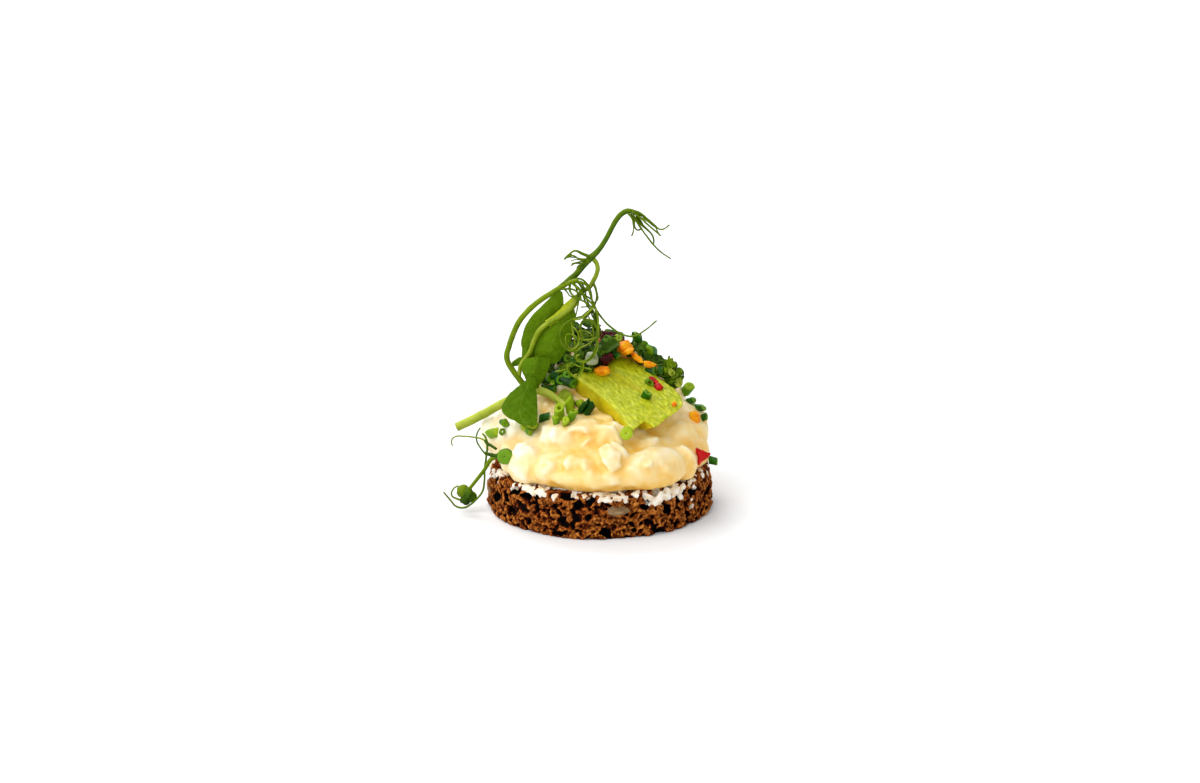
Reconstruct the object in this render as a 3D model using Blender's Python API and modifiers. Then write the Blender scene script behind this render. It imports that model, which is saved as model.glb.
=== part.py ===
"""An open sandwich: a round of dark bread, butter, creamy salad, an avocado slice and a pea shoot.

+X is right, +Y away from the front and +Z up, from the centre of the bread's underside. Lengths in the
constants and functions are millimetres, and each finished solid is scaled to metres.
"""

import math
import random

import bmesh
import bpy
from mathutils import Matrix, Vector, noise
from mathutils.bvhtree import BVHTree

# Bread: a stamped round, a little wider at its foot.
BREAD_RADIUS = 27.5
BREAD_TOP = 10.8
BREAD_SIDES = 60
PIT_COUNT = 34

# Butter: a thin layer that smears over the bread's edge.
BUTTER_LOW = 11.1
BUTTER_TOP = 12.0

# Salad: it starts above the butter, with the gap that all touching pieces keep.
SALAD_FOOT = 12.3
GAP = 0.3

# Avocado: a slab cut from the fruit, which slopes down to the front and is cut away under its front end.
SLAB_THICK = 5.4
UNDERCUT = 5.6

# The raised front view: its height angle, its distance, and how far above the base centre it aims.
RISE = math.radians(17)
REACH = 958.0
AIM_UP = 27.5


def clear_scene():
    for obj in list(bpy.data.objects):
        bpy.data.objects.remove(obj, do_unlink=True)


def new_collection(name, hidden):
    made = bpy.data.collections.new(name)
    bpy.context.scene.collection.children.link(made)
    made.hide_render = hidden
    return made


clear_scene()
PARTS = new_collection("open_sandwich", False)
CUTTERS = new_collection("cutters", True)


def new_material(name, colour, roughness):
    made = bpy.data.materials.new(name)
    made.use_nodes = True
    shader = made.node_tree.nodes["Principled BSDF"]
    shader.inputs["Base Color"].default_value = (*colour, 1.0)
    shader.inputs["Roughness"].default_value = roughness
    return made


# Places: the front view gives how far right and how high a point shows, and its depth completes it.


def seen(right, up, depth):
    """The point at this depth that shows this far right of and above the base centre in the front view."""
    above = up - AIM_UP
    reach = (REACH + depth / math.cos(RISE) - AIM_UP * math.tan(RISE)) / (
        1 + math.tan(RISE) * above / REACH
    )
    height = (AIM_UP + above * reach / REACH - depth * math.sin(RISE)) / math.cos(RISE)
    return Vector((right * reach / REACH, depth, height))


EYE = Vector((0, 0, AIM_UP / math.cos(RISE))) + (REACH - AIM_UP * math.tan(RISE)) * Vector(
    (0, -math.cos(RISE), math.sin(RISE))
)


def sight(right, up):
    """The direction from the eye to what shows at this place."""
    return (seen(right, up, 0) - EYE).normalized()


# Meshes: helpers that build, join and finish them.


def mesh_object(name, bm, collection):
    mesh = bpy.data.meshes.new(name)
    bm.to_mesh(mesh)
    bm.free()
    made = bpy.data.objects.new(name, mesh)
    collection.objects.link(made)
    made.display_type = "WIRE" if collection is CUTTERS else "TEXTURED"
    made.hide_render = collection is CUTTERS
    return made


def baked(obj):
    """The object's mesh with its modifiers applied."""
    graph = bpy.context.evaluated_depsgraph_get()
    return bpy.data.meshes.new_from_object(obj.evaluated_get(graph))


def apply_modifiers(obj):
    mesh = baked(obj)
    obj.modifiers.clear()
    obj.data = mesh


def boolean(obj, other, operation, solver="EXACT"):
    """Joins or cuts with one object or a collection of them, and applies it."""
    cut = obj.modifiers.new("cut", "BOOLEAN")
    cut.operation = operation
    cut.solver = solver
    if isinstance(other, bpy.types.Collection):
        cut.operand_type = "COLLECTION"
        cut.collection = other
    else:
        cut.object = other
    apply_modifiers(obj)


def keep_largest(obj):
    """Drops the scraps that a Boolean leaves, and fills a hollow that it sealed."""
    bm = bmesh.new()
    bm.from_mesh(obj.data)
    bmesh.ops.triangulate(bm, faces=bm.faces[:])
    islands = []
    left = set(bm.faces)
    while left:
        island = {left.pop()}
        edge_of = list(island)
        while edge_of:
            face = edge_of.pop()
            for edge in face.edges:
                for near in edge.link_faces:
                    if near in left:
                        left.discard(near)
                        island.add(near)
                        edge_of.append(near)
        islands.append(island)
    biggest = max(islands, key=lambda island: sum(face.calc_area() for face in island))
    scrap = [face for island in islands if island is not biggest for face in island]
    bmesh.ops.delete(bm, geom=scrap, context="FACES")
    bm.to_mesh(obj.data)
    bm.free()


def thin_out(obj, triangles):
    """Fewer triangles, spread by how much the surface bends."""
    bm = bmesh.new()
    bm.from_mesh(obj.data)
    bmesh.ops.triangulate(bm, faces=bm.faces[:])
    bm.to_mesh(obj.data)
    bm.free()
    fewer = obj.modifiers.new("fewer", "DECIMATE")
    fewer.ratio = triangles / len(obj.data.polygons)
    fewer.use_collapse_triangulate = True
    apply_modifiers(obj)


def flat_foot(obj, height):
    """Cuts a body off level at a height."""
    bm = bmesh.new()
    bmesh.ops.create_cube(
        bm, size=1.0, matrix=Matrix.Translation((0, 0, height - 10)) @ Matrix.Diagonal((90, 90, 20, 1))
    )
    below = mesh_object("below", bm, CUTTERS)
    boolean(obj, below, "DIFFERENCE", "MANIFOLD")
    bpy.data.objects.remove(below, do_unlink=True)


def join_pieces(obj, pieces, solver="EXACT"):
    """One union of the object with all the pieces, which are then removed."""
    group = bpy.data.collections.new("joined")
    CUTTERS.children.link(group)
    for piece in pieces:
        group.objects.link(piece)
    boolean(obj, group, "UNION", solver)
    for piece in pieces:
        bpy.data.objects.remove(piece, do_unlink=True)
    bpy.data.collections.remove(group)
    keep_largest(obj)


def finish(obj, name, material, smooth=True):
    """Names the solid, scales it to metres and gives it its material."""
    obj.name = name
    obj.data.name = name
    obj.data.transform(Matrix.Scale(0.001, 4))
    obj.data.materials.clear()
    obj.data.materials.append(material)
    for face in obj.data.polygons:
        face.use_smooth = smooth
    return obj


def make_room(obj, piece):
    """Cuts the object back from a piece by the gap that touching pieces keep."""
    room = bpy.data.objects.new("room", piece.data.copy())
    CUTTERS.objects.link(room)
    grow = room.modifiers.new("grow", "DISPLACE")
    grow.mid_level = 0.0
    grow.strength = GAP
    skin = room.modifiers.new("skin", "REMESH")
    skin.mode = "VOXEL"
    skin.voxel_size = 0.3
    apply_modifiers(room)
    boolean(obj, room, "DIFFERENCE", "MANIFOLD")
    bpy.data.objects.remove(room, do_unlink=True)
    keep_largest(obj)


def surface_of(obj):
    return BVHTree.FromPolygons(
        [vert.co.copy() for vert in obj.data.vertices],
        [tuple(face.vertices) for face in obj.data.polygons],
    )


def hit(surface, right, up):
    """Where the line of sight meets a surface or passes nearest to it, and the surface's normal there."""
    place, normal, _, _ = surface.ray_cast(EYE, sight(right, up))
    if place is None:
        place, normal, _, _ = surface.find_nearest(seen(right, up, 0))
    return place, normal


def facing(normal, turn=0.0):
    """A rotation that takes +Z to the normal, with a turn about it."""
    return Vector(normal).to_track_quat("Z", "Y").to_matrix().to_4x4() @ Matrix.Rotation(turn, 4, "Z")


def lump(bm, centre, radii, turn=None, fineness=2):
    """An ellipsoid added to a mesh."""
    made = bmesh.ops.create_icosphere(bm, subdivisions=fineness, radius=1.0)
    matrix = Matrix.Translation(centre) @ (turn or Matrix()) @ Matrix.Diagonal((*radii, 1.0))
    bmesh.ops.transform(bm, matrix=matrix, verts=made["verts"])
    return made["verts"]


def rough(verts, amount, seed):
    """Moves each corner by its own small amount."""
    dice = random.Random(seed)
    for vert in verts:
        vert.co += Vector([dice.uniform(-amount, amount) for _ in range(3)])


# The bread.


def bread_side(angle, height):
    """Radius of the bread's side at an angle and a height."""
    slow = Vector((math.cos(angle) * 2.2, math.sin(angle) * 2.2, height * 0.12))
    quick = Vector((math.cos(angle) * 9.0, math.sin(angle) * 9.0, height * 0.45))
    lean = BREAD_RADIUS - 0.075 * height
    return lean + 0.55 * noise.noise(slow) + 0.5 * noise.noise(quick)


def bread_form(levels, insets, grow, collection):
    """The round: a cylinder cut at the levels, with its side moved out to the uneven radius."""
    bm = bmesh.new()
    bmesh.ops.create_cone(
        bm,
        cap_ends=True,
        segments=BREAD_SIDES,
        radius1=BREAD_RADIUS,
        radius2=BREAD_RADIUS,
        depth=levels[-1] - levels[0],
        matrix=Matrix.Translation((0, 0, (levels[0] + levels[-1]) / 2)),
    )
    for level in levels[1:-1]:
        bmesh.ops.bisect_plane(
            bm, geom=bm.verts[:] + bm.edges[:] + bm.faces[:], plane_co=(0, 0, level), plane_no=(0, 0, 1)
        )
    for vert in bm.verts:
        angle = math.atan2(vert.co.y, vert.co.x)
        nearest = min(range(len(levels)), key=lambda i: abs(levels[i] - vert.co.z))
        radius = bread_side(angle, vert.co.z) + grow - insets[nearest]
        vert.co = Vector((radius * math.cos(angle), radius * math.sin(angle), levels[nearest]))
    return mesh_object("bread", bm, collection)


def bread_pits():
    """The crumb's open pores where they break the side, kept clear of each other."""
    dice = random.Random(11)
    bm = bmesh.new()
    placed = []
    while len(placed) < PIT_COUNT:
        angle = dice.uniform(0, math.tau)
        height = dice.uniform(2.0, BREAD_TOP - 1.4)
        size = dice.uniform(0.65, 1.35)
        out = bread_side(angle, height)
        centre = Vector((out * math.cos(angle), out * math.sin(angle), height))
        if any((centre - other).length < size + room + 0.45 for other, room in placed):
            continue
        placed.append((centre, size))
        turn = Matrix.Rotation(angle, 4, "Z") @ Matrix.Rotation(dice.uniform(-0.9, 0.9), 4, "X")
        radii = (size * 0.9, size * dice.uniform(0.9, 1.45), size * dice.uniform(0.6, 0.95))
        lump(bm, centre, radii, turn, fineness=2 if size > 1.15 else 1)
    return mesh_object("pits", bm, CUTTERS)


bread = bread_form(
    (0.0, 0.6, 2.2, 4.9, 7.6, 9.8, BREAD_TOP),
    (1.1, 0.3, 0.0, 0.0, 0.0, 0.1, 1.0),
    0.0,
    PARTS,
)
pits = bread_pits()
boolean(bread, pits, "DIFFERENCE")
bpy.data.objects.remove(pits, do_unlink=True)
keep_largest(bread)


# The butter: a layer with an uneven rim, and smears over the bread's edge.


def butter_rim(angle):
    place = Vector((math.cos(angle) * 3.4, math.sin(angle) * 3.4, 7.0))
    return 25.9 + 1.1 * noise.noise(place)


# Each smear: degrees round from the front (right is positive), half width, how far down it reaches.
SMEARS = (
    (-66, 2.2, 10.2),
    (-52, 3.6, 10.3),
    (-47, 1.5, 9.2),
    (-27, 3.2, 9.9),
    (-23, 1.6, 8.6),
    (-8, 1.7, 10.2),
    (2, 3.4, 9.6),
    (11, 1.7, 7.9),
    (22, 2.4, 9.4),
    (28, 3.4, 8.8),
    (34, 1.8, 7.4),
    (47, 3.2, 9.9),
    (66, 2.2, 9.0),
    (97, 3.6, 10.2),
    (104, 1.6, 9.2),
    (133, 2.2, 9.6),
    (160, 3.8, 10.2),
    (166, 1.5, 8.8),
    (204, 2.6, 9.9),
    (236, 3.4, 9.6),
    (262, 1.8, 9.1),
    (281, 2.6, 10.2),
)


def butter_form():
    bm = bmesh.new()
    bmesh.ops.create_cone(
        bm,
        cap_ends=True,
        segments=60,
        radius1=26,
        radius2=26,
        depth=BUTTER_TOP - BUTTER_LOW,
        matrix=Matrix.Translation((0, 0, (BUTTER_LOW + BUTTER_TOP) / 2)),
    )
    for vert in bm.verts:
        angle = math.atan2(vert.co.y, vert.co.x)
        radius = butter_rim(angle)
        vert.co.x = radius * math.cos(angle)
        vert.co.y = radius * math.sin(angle)
    layer = mesh_object("butter", bm, PARTS)
    smears = []
    for turn, half, low in SMEARS:
        angle = math.radians(turn - 90)
        out = bread_side(angle, 10) + 0.1
        high = BUTTER_TOP - 0.05
        bm = bmesh.new()
        centre = Vector((out * math.cos(angle), out * math.sin(angle), (high + low) / 2))
        verts = lump(bm, centre, (0.7, half, (high - low) / 2), Matrix.Rotation(angle, 4, "Z"))
        rough(verts, 0.12, turn)
        for vert in verts:
            inward = 1.9 * max(0.0, (vert.co.z - BUTTER_LOW) / (high - BUTTER_LOW))
            away = Vector((vert.co.x, vert.co.y, 0)).normalized()
            vert.co -= away * inward
            vert.co.z = min(vert.co.z, high)
        smears.append(mesh_object("smear", bm, CUTTERS))
    join_pieces(layer, smears, "MANIFOLD")
    room = bread_form(
        (-1.0, 2.2, 4.9, 7.6, 9.8, BUTTER_LOW),
        (0.0, 0.0, 0.0, 0.0, 0.1, 1.0),
        GAP,
        CUTTERS,
    )
    boolean(layer, room, "DIFFERENCE", "MANIFOLD")
    bpy.data.objects.remove(room, do_unlink=True)
    keep_largest(layer)
    thin_out(layer, 1000)
    return layer


butter = butter_form()


# The salad's body: cores that give the heap its height, then lumps on them.

CORES = (
    ((0.0, 0.0, 14.6), (26.0, 26.0, 8.0)),
    ((-4.0, 6.0, 17.0), (18.0, 15.0, 12.0)),
    ((2.0, 12.0, 18.5), (19.5, 13.0, 14.0)),
    ((14.0, 3.0, 17.0), (11.5, 14.0, 8.3)),
    ((3.0, 10.5, 26.0), (13.5, 9.6, 12.4)),
    ((-17.0, 2.0, 17.5), (9.5, 12.0, 8.0)),
    ((-11.0, 6.0, 22.0), (8.0, 8.0, 7.0)),
    ((12.0, 8.0, 21.5), (9.0, 9.5, 8.5)),
)

# Lumps that show in the front: place in the front view, radii, how far they stand out.
FRONT_LUMPS = (
    (-26.3, 19.6, 3.3, 3.6, 3.2, 1.3),
    (-26.6, 15.2, 4.0, 4.6, 3.9, 1.6),
    (-21.4, 18.5, 3.8, 3.6, 3.2, 1.5),
    (-19.2, 11.4, 5.8, 4.5, 5.4, 1.5),
    (-10.6, 17.4, 5.6, 3.8, 4.2, 1.4),
    (-3.7, 18.9, 5.4, 3.6, 3.8, 1.9),
    (3.6, 17.4, 4.0, 3.0, 3.4, 1.6),
    (2.6, 11.6, 4.2, 3.0, 4.4, 1.7),
    (-5.9, 9.8, 4.8, 3.4, 3.8, 1.3),
    (-13.4, 8.2, 3.8, 3.0, 3.0, 1.2),
    (13.8, 9.8, 9.2, 4.4, 5.2, 1.9),
    (21.4, 10.6, 4.6, 4.4, 4.4, 1.5),
    (12.3, 15.4, 6.2, 3.8, 3.4, 0.9),
    (21.4, 17.2, 5.8, 5.0, 4.4, 1.2),
    (25.4, 14.6, 3.4, 4.6, 4.2, 1.2),
    (-4.4, 5.9, 9.6, 3.2, 2.4, 1.5),
    (8.0, 5.6, 5.6, 3.0, 2.2, 1.2),
    (-23.0, 9.0, 3.4, 3.4, 2.8, 1.1),
    (-9.0, 21.8, 4.2, 3.2, 3.0, 1.0),
)


def salad_body():
    bm = bmesh.new()
    for centre, radii in CORES:
        lump(bm, centre, radii, fineness=4)
    core = mesh_object("core", bm, CUTTERS)
    surface = surface_of(core)
    bpy.data.objects.remove(core, do_unlink=True)
    bm = bmesh.new()
    for centre, radii in CORES:
        lump(bm, centre, radii, fineness=4)
    dice = random.Random(5)
    for right, up, wide, deep, high, out in FRONT_LUMPS:
        place, normal = hit(surface, right, up)
        centre = place + normal * (out - deep)
        lump(bm, centre, (wide, high, deep), facing(normal), fineness=3)
    for step in range(46):
        angle = math.radians(-12 + 204 * ((step * 0.618034) % 1.0))
        lift = math.radians(dice.uniform(4, 62))
        outward = Vector(
            (math.cos(angle) * math.cos(lift), math.sin(angle) * math.cos(lift), math.sin(lift))
        )
        start = Vector((0, 3, 14)) + outward * 60
        place, normal, _, _ = surface.ray_cast(start, -outward)
        if place is None:
            continue
        size = dice.uniform(2.8, 5.2)
        centre = place + normal * (dice.uniform(0.8, 1.8) - size * 0.8)
        flat = (size * dice.uniform(0.9, 1.3), size * dice.uniform(0.8, 1.1), size * 0.8)
        lump(bm, centre, flat, facing(normal, dice.uniform(0, 3)), fineness=3)
    body = mesh_object("salad", bm, PARTS)
    skin = body.modifiers.new("skin", "REMESH")
    skin.mode = "VOXEL"
    skin.voxel_size = 0.55
    soft = body.modifiers.new("soft", "SMOOTH")
    soft.factor = 0.5
    soft.iterations = 3
    apply_modifiers(body)
    return body


salad = salad_body()


# The avocado slab: a flat outline, thickened along the slope that it lies on.

SLOPE_POINTS = ((-7.4, 1.0, 33.3), (7.7, -18.0, 24.3), (4.3, 8.0, 35.3))
SLAB_OUTLINE = (
    (-7.2, 31.8),
    (-5.4, 30.8),
    (-2.0, 28.4),
    (1.7, 25.2),
    (5.4, 21.6),
    (7.4, 18.4),
    (8.4, 17.9),
    (10.0, 19.3),
    (11.3, 20.3),
    (12.4, 19.6),
    (13.6, 18.7),
    (15.0, 19.6),
    (17.2, 21.4),
    (19.4, 22.8),
    (20.7, 24.2),
    (20.3, 26.2),
    (18.4, 28.6),
    (15.7, 30.3),
    (12.8, 32.3),
    (10.6, 34.1),
    (7.6, 35.9),
    (4.6, 36.2),
    (2.0, 35.0),
    (-2.6, 33.2),
    (-6.2, 32.4),
)

SLOPE_ORIGIN = Vector(SLOPE_POINTS[0])
SLOPE_ALONG = (Vector(SLOPE_POINTS[1]) - SLOPE_ORIGIN).normalized()
SLOPE_NORMAL = SLOPE_ALONG.cross(Vector(SLOPE_POINTS[2]) - SLOPE_ORIGIN).normalized()
SLOPE_ACROSS = SLOPE_NORMAL.cross(SLOPE_ALONG)
SLOPE = Matrix.Translation(SLOPE_ORIGIN) @ Matrix(
    (
        (SLOPE_ALONG.x, SLOPE_ACROSS.x, SLOPE_NORMAL.x, 0),
        (SLOPE_ALONG.y, SLOPE_ACROSS.y, SLOPE_NORMAL.y, 0),
        (SLOPE_ALONG.z, SLOPE_ACROSS.z, SLOPE_NORMAL.z, 0),
        (0, 0, 0, 1),
    )
)


def on_slope(right, up):
    """The place on the slab's top plane that shows here, in the slab's own flat coordinates."""
    ray = sight(right, up)
    reach = (SLOPE_ORIGIN - EYE).dot(SLOPE_NORMAL) / ray.dot(SLOPE_NORMAL)
    return SLOPE.inverted() @ (EYE + ray * reach)


def slab(grow, above, below, rounding, collection):
    """The outline extruded from below to above its top plane."""
    flat = bpy.data.curves.new("slab", "CURVE")
    flat.dimensions = "2D"
    flat.fill_mode = "BOTH"
    flat.extrude = (above + below) / 2 - rounding
    flat.bevel_depth = rounding
    flat.bevel_resolution = 1 if rounding else 0
    flat.offset = grow - rounding
    spline = flat.splines.new("POLY")
    spline.points.add(len(SLAB_OUTLINE) - 1)
    for point, (right, up) in zip(spline.points, SLAB_OUTLINE):
        place = on_slope(right, up)
        point.co = (place.x, place.y, 0, 1)
    spline.use_cyclic_u = True
    helper = bpy.data.objects.new("slab_outline", flat)
    CUTTERS.objects.link(helper)
    mesh = baked(helper)
    bpy.data.objects.remove(helper, do_unlink=True)
    bm = bmesh.new()
    bm.from_mesh(mesh)
    bmesh.ops.remove_doubles(bm, verts=bm.verts[:], dist=0.001)
    bmesh.ops.recalc_face_normals(bm, faces=bm.faces[:])
    bmesh.ops.translate(bm, verts=bm.verts[:], vec=(0, 0, (above - below) / 2))
    for vert in bm.verts:
        if vert.co.z < -SLAB_THICK / 2:
            vert.co.x -= UNDERCUT * min(1.0, max(0.0, (vert.co.x - 14.0) / 8.0))
    bmesh.ops.transform(bm, matrix=SLOPE, verts=bm.verts[:])
    return mesh_object("avocado", bm, collection)


avocado = slab(0.0, 0.0, SLAB_THICK, 0.45, PARTS)
room = slab(GAP, 14.0, SLAB_THICK + GAP, 0.0, CUTTERS)
boolean(salad, room, "DIFFERENCE", "MANIFOLD")
bpy.data.objects.remove(room, do_unlink=True)


# Small toppings. Each chive: place in the front view, radius, length, direction, height over the surface.

CHIVES = (
    (-23.1, 11.9, 1.95, 1.5, (-0.25, -1.0, 0.15), 0.5),
    (-26.0, 17.5, 1.05, 2.5, (1.0, -0.5, 0.35), 0.5),
    (-24.0, 17.7, 0.85, 1.3, (0.2, -1.0, 0.6), 0.5),
    (-23.5, 19.7, 1.1, 1.5, (0.3, -1.0, 0.2), 0.6),
    (-13.7, 21.2, 1.15, 2.9, (1.0, -0.2, 0.25), 0.6),
    (-17.3, 18.4, 1.0, 1.5, (0.2, -1.0, 0.7), 0.5),
    (-16.4, 17.2, 0.8, 1.2, (-0.5, -1.0, 0.3), 0.4),
    (-8.9, 20.9, 1.15, 3.8, (0.25, -0.5, 1.0), 0.7),
    (-6.6, 21.5, 1.1, 1.8, (0.3, -1.0, 0.3), 0.6),
    (-3.9, 22.4, 1.05, 4.8, (0.75, -0.45, 0.85), 1.0),
    (-4.8, 24.4, 1.05, 2.2, (0.5, -0.9, 0.5), 0.7),
    (-8.4, 25.0, 1.4, 3.6, (-0.5, -0.2, 1.0), 0.7),
    (-9.9, 30.2, 1.3, 2.2, (0.5, -0.8, 0.3), 0.7),
    (-7.8, 31.2, 1.2, 2.4, (-0.3, -1.0, 0.4), 0.9),
    (-11.4, 28.2, 1.05, 1.8, (0.9, -0.5, 0.2), 0.6),
    (-12.3, 30.4, 1.0, 1.8, (0.2, -0.7, 0.7), 0.6),
    (-5.4, 34.8, 1.0, 2.0, (0.9, -0.4, 0.2), 0.7),
    (-3.2, 33.6, 1.1, 1.8, (0.9, -0.6, 0.1), 0.6),
    (8.5, 39.9, 1.2, 2.7, (0.15, -0.3, 1.0), 1.1),
    (10.2, 38.4, 1.1, 2.0, (0.6, -0.9, 0.3), 0.8),
    (12.0, 36.4, 1.5, 2.4, (-0.5, -0.8, 0.3), 1.1),
    (1.6, 39.0, 1.5, 2.2, (0.4, -0.6, 0.6), 0.8),
    (4.2, 39.6, 1.2, 2.0, (-0.6, -0.7, 0.4), 0.8),
    (3.4, 41.2, 1.0, 4.2, (1.0, -0.1, -0.25), 0.6),
    (3.2, 36.9, 1.0, 2.4, (0.8, -0.4, -0.4), 0.6),
    (20.6, 27.4, 1.3, 2.7, (0.5, -0.5, 0.9), 1.2),
    (22.0, 24.7, 0.9, 1.7, (1.0, -0.2, 0.3), 0.8),
    (24.4, 22.9, 1.15, 2.0, (0.9, -0.6, 0.2), 0.8),
    (25.0, 21.0, 0.95, 1.7, (0.8, -0.5, 0.6), 0.8),
    (27.2, 10.8, 1.1, 2.2, (0.9, -0.4, -0.1), 0.8),
)

# Nuggets and flakes on the salad: place, radii across, up and out, turn in degrees, height over it.
NUGGETS = (
    (22.9, 21.0, 1.75, 1.9, 1.5, 20, 0.9),
    (6.1, 38.4, 2.1, 1.9, 1.5, 35, 1.3),
)
FLAKES = (
    (24.8, 11.7, 1.7, 1.6, 0.75, 10, 0.5),
    (2.4, 41.0, 2.3, 1.4, 1.2, 0, 0.6),
    (2.2, 35.6, 1.9, 1.3, 1.0, 10, 0.6),
    (-1.1, 38.9, 1.4, 1.4, 0.9, 40, 0.6),
    (-6.9, 40.2, 0.9, 0.8, 0.7, 0, 0.4),
)
ONION = (-2.2, 35.6, 2.1, 2.1, 1.5, 15, 0.7)

# What lies on the avocado, in the same forms.
SLAB_CHIVES = (
    (12.2, 29.4, 1.15, 1.4, (0.1, -0.9, 0.5), 0.3),
    (11.2, 26.0, 1.15, 2.9, (0.35, -0.6, 0.8), 0.5),
    (7.3, 17.7, 1.5, 1.5, (-0.1, -1.0, 0.25), 0.4),
)
SLAB_NUGGETS = (
    (0.5, 32.6, 2.3, 1.35, 1.2, -4, 0.7),
    (9.0, 35.8, 2.1, 0.85, 0.85, -38, 0.7),
    (12.6, 33.9, 1.9, 1.05, 0.85, -42, 0.7),
    (18.2, 24.3, 0.7, 0.8, 0.6, 0, 0.3),
)
SLAB_FLAKES = ((13.9, 29.3, 1.25, 2.3, 0.8, 38, 0.4),)


def chive(place, normal, radius, length, direction, over):
    """A short cut tube, standing in what it lies on."""
    bm = bmesh.new()
    bmesh.ops.create_cone(
        bm, cap_ends=True, segments=7, radius1=radius, radius2=radius * 0.94, depth=length
    )
    matrix = Matrix.Translation(place + normal * over) @ facing(direction, 0.3)
    bmesh.ops.transform(bm, matrix=matrix, verts=bm.verts[:])
    return mesh_object("chive", bm, CUTTERS)


def grain(place, normal, radii, turn, over, seed):
    """A small uneven piece, lying on the surface with its own turn in the front view."""
    bm = bmesh.new()
    verts = lump(bm, Vector(), (1, 1, 1), fineness=1)
    rough(verts, 0.22, seed)
    out = Vector((normal.x, min(normal.y, -0.25), normal.z)).normalized()
    across = Vector((0, 0, 1)).cross(out).normalized() * -1
    up = out.cross(across)
    spin = math.radians(turn)
    first = across * math.cos(spin) + up * math.sin(spin)
    second = out.cross(first)
    frame = Matrix(
        (
            (first.x * radii[0], second.x * radii[1], out.x * radii[2], 0),
            (first.y * radii[0], second.y * radii[1], out.y * radii[2], 0),
            (first.z * radii[0], second.z * radii[1], out.z * radii[2], 0),
            (0, 0, 0, 1),
        )
    )
    bmesh.ops.transform(bm, matrix=Matrix.Translation(place + normal * over) @ frame, verts=verts)
    bmesh.ops.recalc_face_normals(bm, faces=bm.faces[:])
    return mesh_object("grain", bm, CUTTERS)


def toppings(surface, chives, grains):
    made = []
    for right, up, radius, length, direction, over in chives:
        place, normal = hit(surface, right, up)
        made.append(chive(place, normal, radius, length, direction, over))
    for seed, (right, up, wide, high, deep, turn, over) in enumerate(grains):
        place, normal = hit(surface, right, up)
        made.append(grain(place, normal, (wide, high, deep), turn, over, seed))
    return made


def back_places(surface):
    """Seeded places round the sides and back for the toppings that don't show in front."""
    dice = random.Random(23)
    placed = []
    found = []
    while len(found) < 22:
        angle = math.radians(dice.uniform(-20, 200))
        lift = math.radians(dice.uniform(8, 74))
        outward = Vector(
            (math.cos(angle) * math.cos(lift), math.sin(angle) * math.cos(lift), math.sin(lift))
        )
        place, normal, _, _ = surface.ray_cast(Vector((0, 4, 14)) + outward * 60, -outward)
        if place is None or place.z < SALAD_FOOT + 2.5 or place.y < 3:
            continue
        if any((place - other).length < 4.2 for other in placed):
            continue
        placed.append(place)
        lean = Vector([dice.uniform(-1, 1) for _ in range(3)])
        found.append((place, normal, (normal + lean).normalized(), dice.random(), dice.uniform(0.9, 1.3)))
    return found


def back_toppings(surface):
    made = []
    for seed, (place, normal, direction, kind, size) in enumerate(back_places(surface)):
        if kind < 0.66:
            made.append(chive(place, normal, size, size * 2.0, direction, 0.6))
        elif kind < 0.82:
            made.append(grain(place, normal, (1.5 * size, 1.1 * size, size), 40 * seed, 0.6, 50 + seed))
        else:
            made.append(grain(place, normal, (1.2 * size, size, 0.7 * size), 40 * seed, 0.4, 50 + seed))
    return made


keep_largest(salad)
thin_out(salad, 2700)
flat_foot(salad, SALAD_FOOT)
salad_skin = surface_of(salad)
avocado_skin = surface_of(avocado)
salad_bits = toppings(salad_skin, CHIVES, NUGGETS + FLAKES + (ONION,)) + back_toppings(salad_skin)
avocado_bits = toppings(avocado_skin, SLAB_CHIVES, SLAB_NUGGETS + SLAB_FLAKES)
join_pieces(salad, salad_bits, "MANIFOLD")
join_pieces(avocado, avocado_bits, "MANIFOLD")
room = slab(GAP, 5.0, SLAB_THICK + GAP, 0.0, CUTTERS)
boolean(salad, room, "DIFFERENCE", "MANIFOLD")
bpy.data.objects.remove(room, do_unlink=True)
flat_foot(salad, SALAD_FOOT)
keep_largest(salad)


# The pea shoot: tapered stems, tendrils and thin leaves, joined. Points: right, up, depth and radius.

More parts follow.
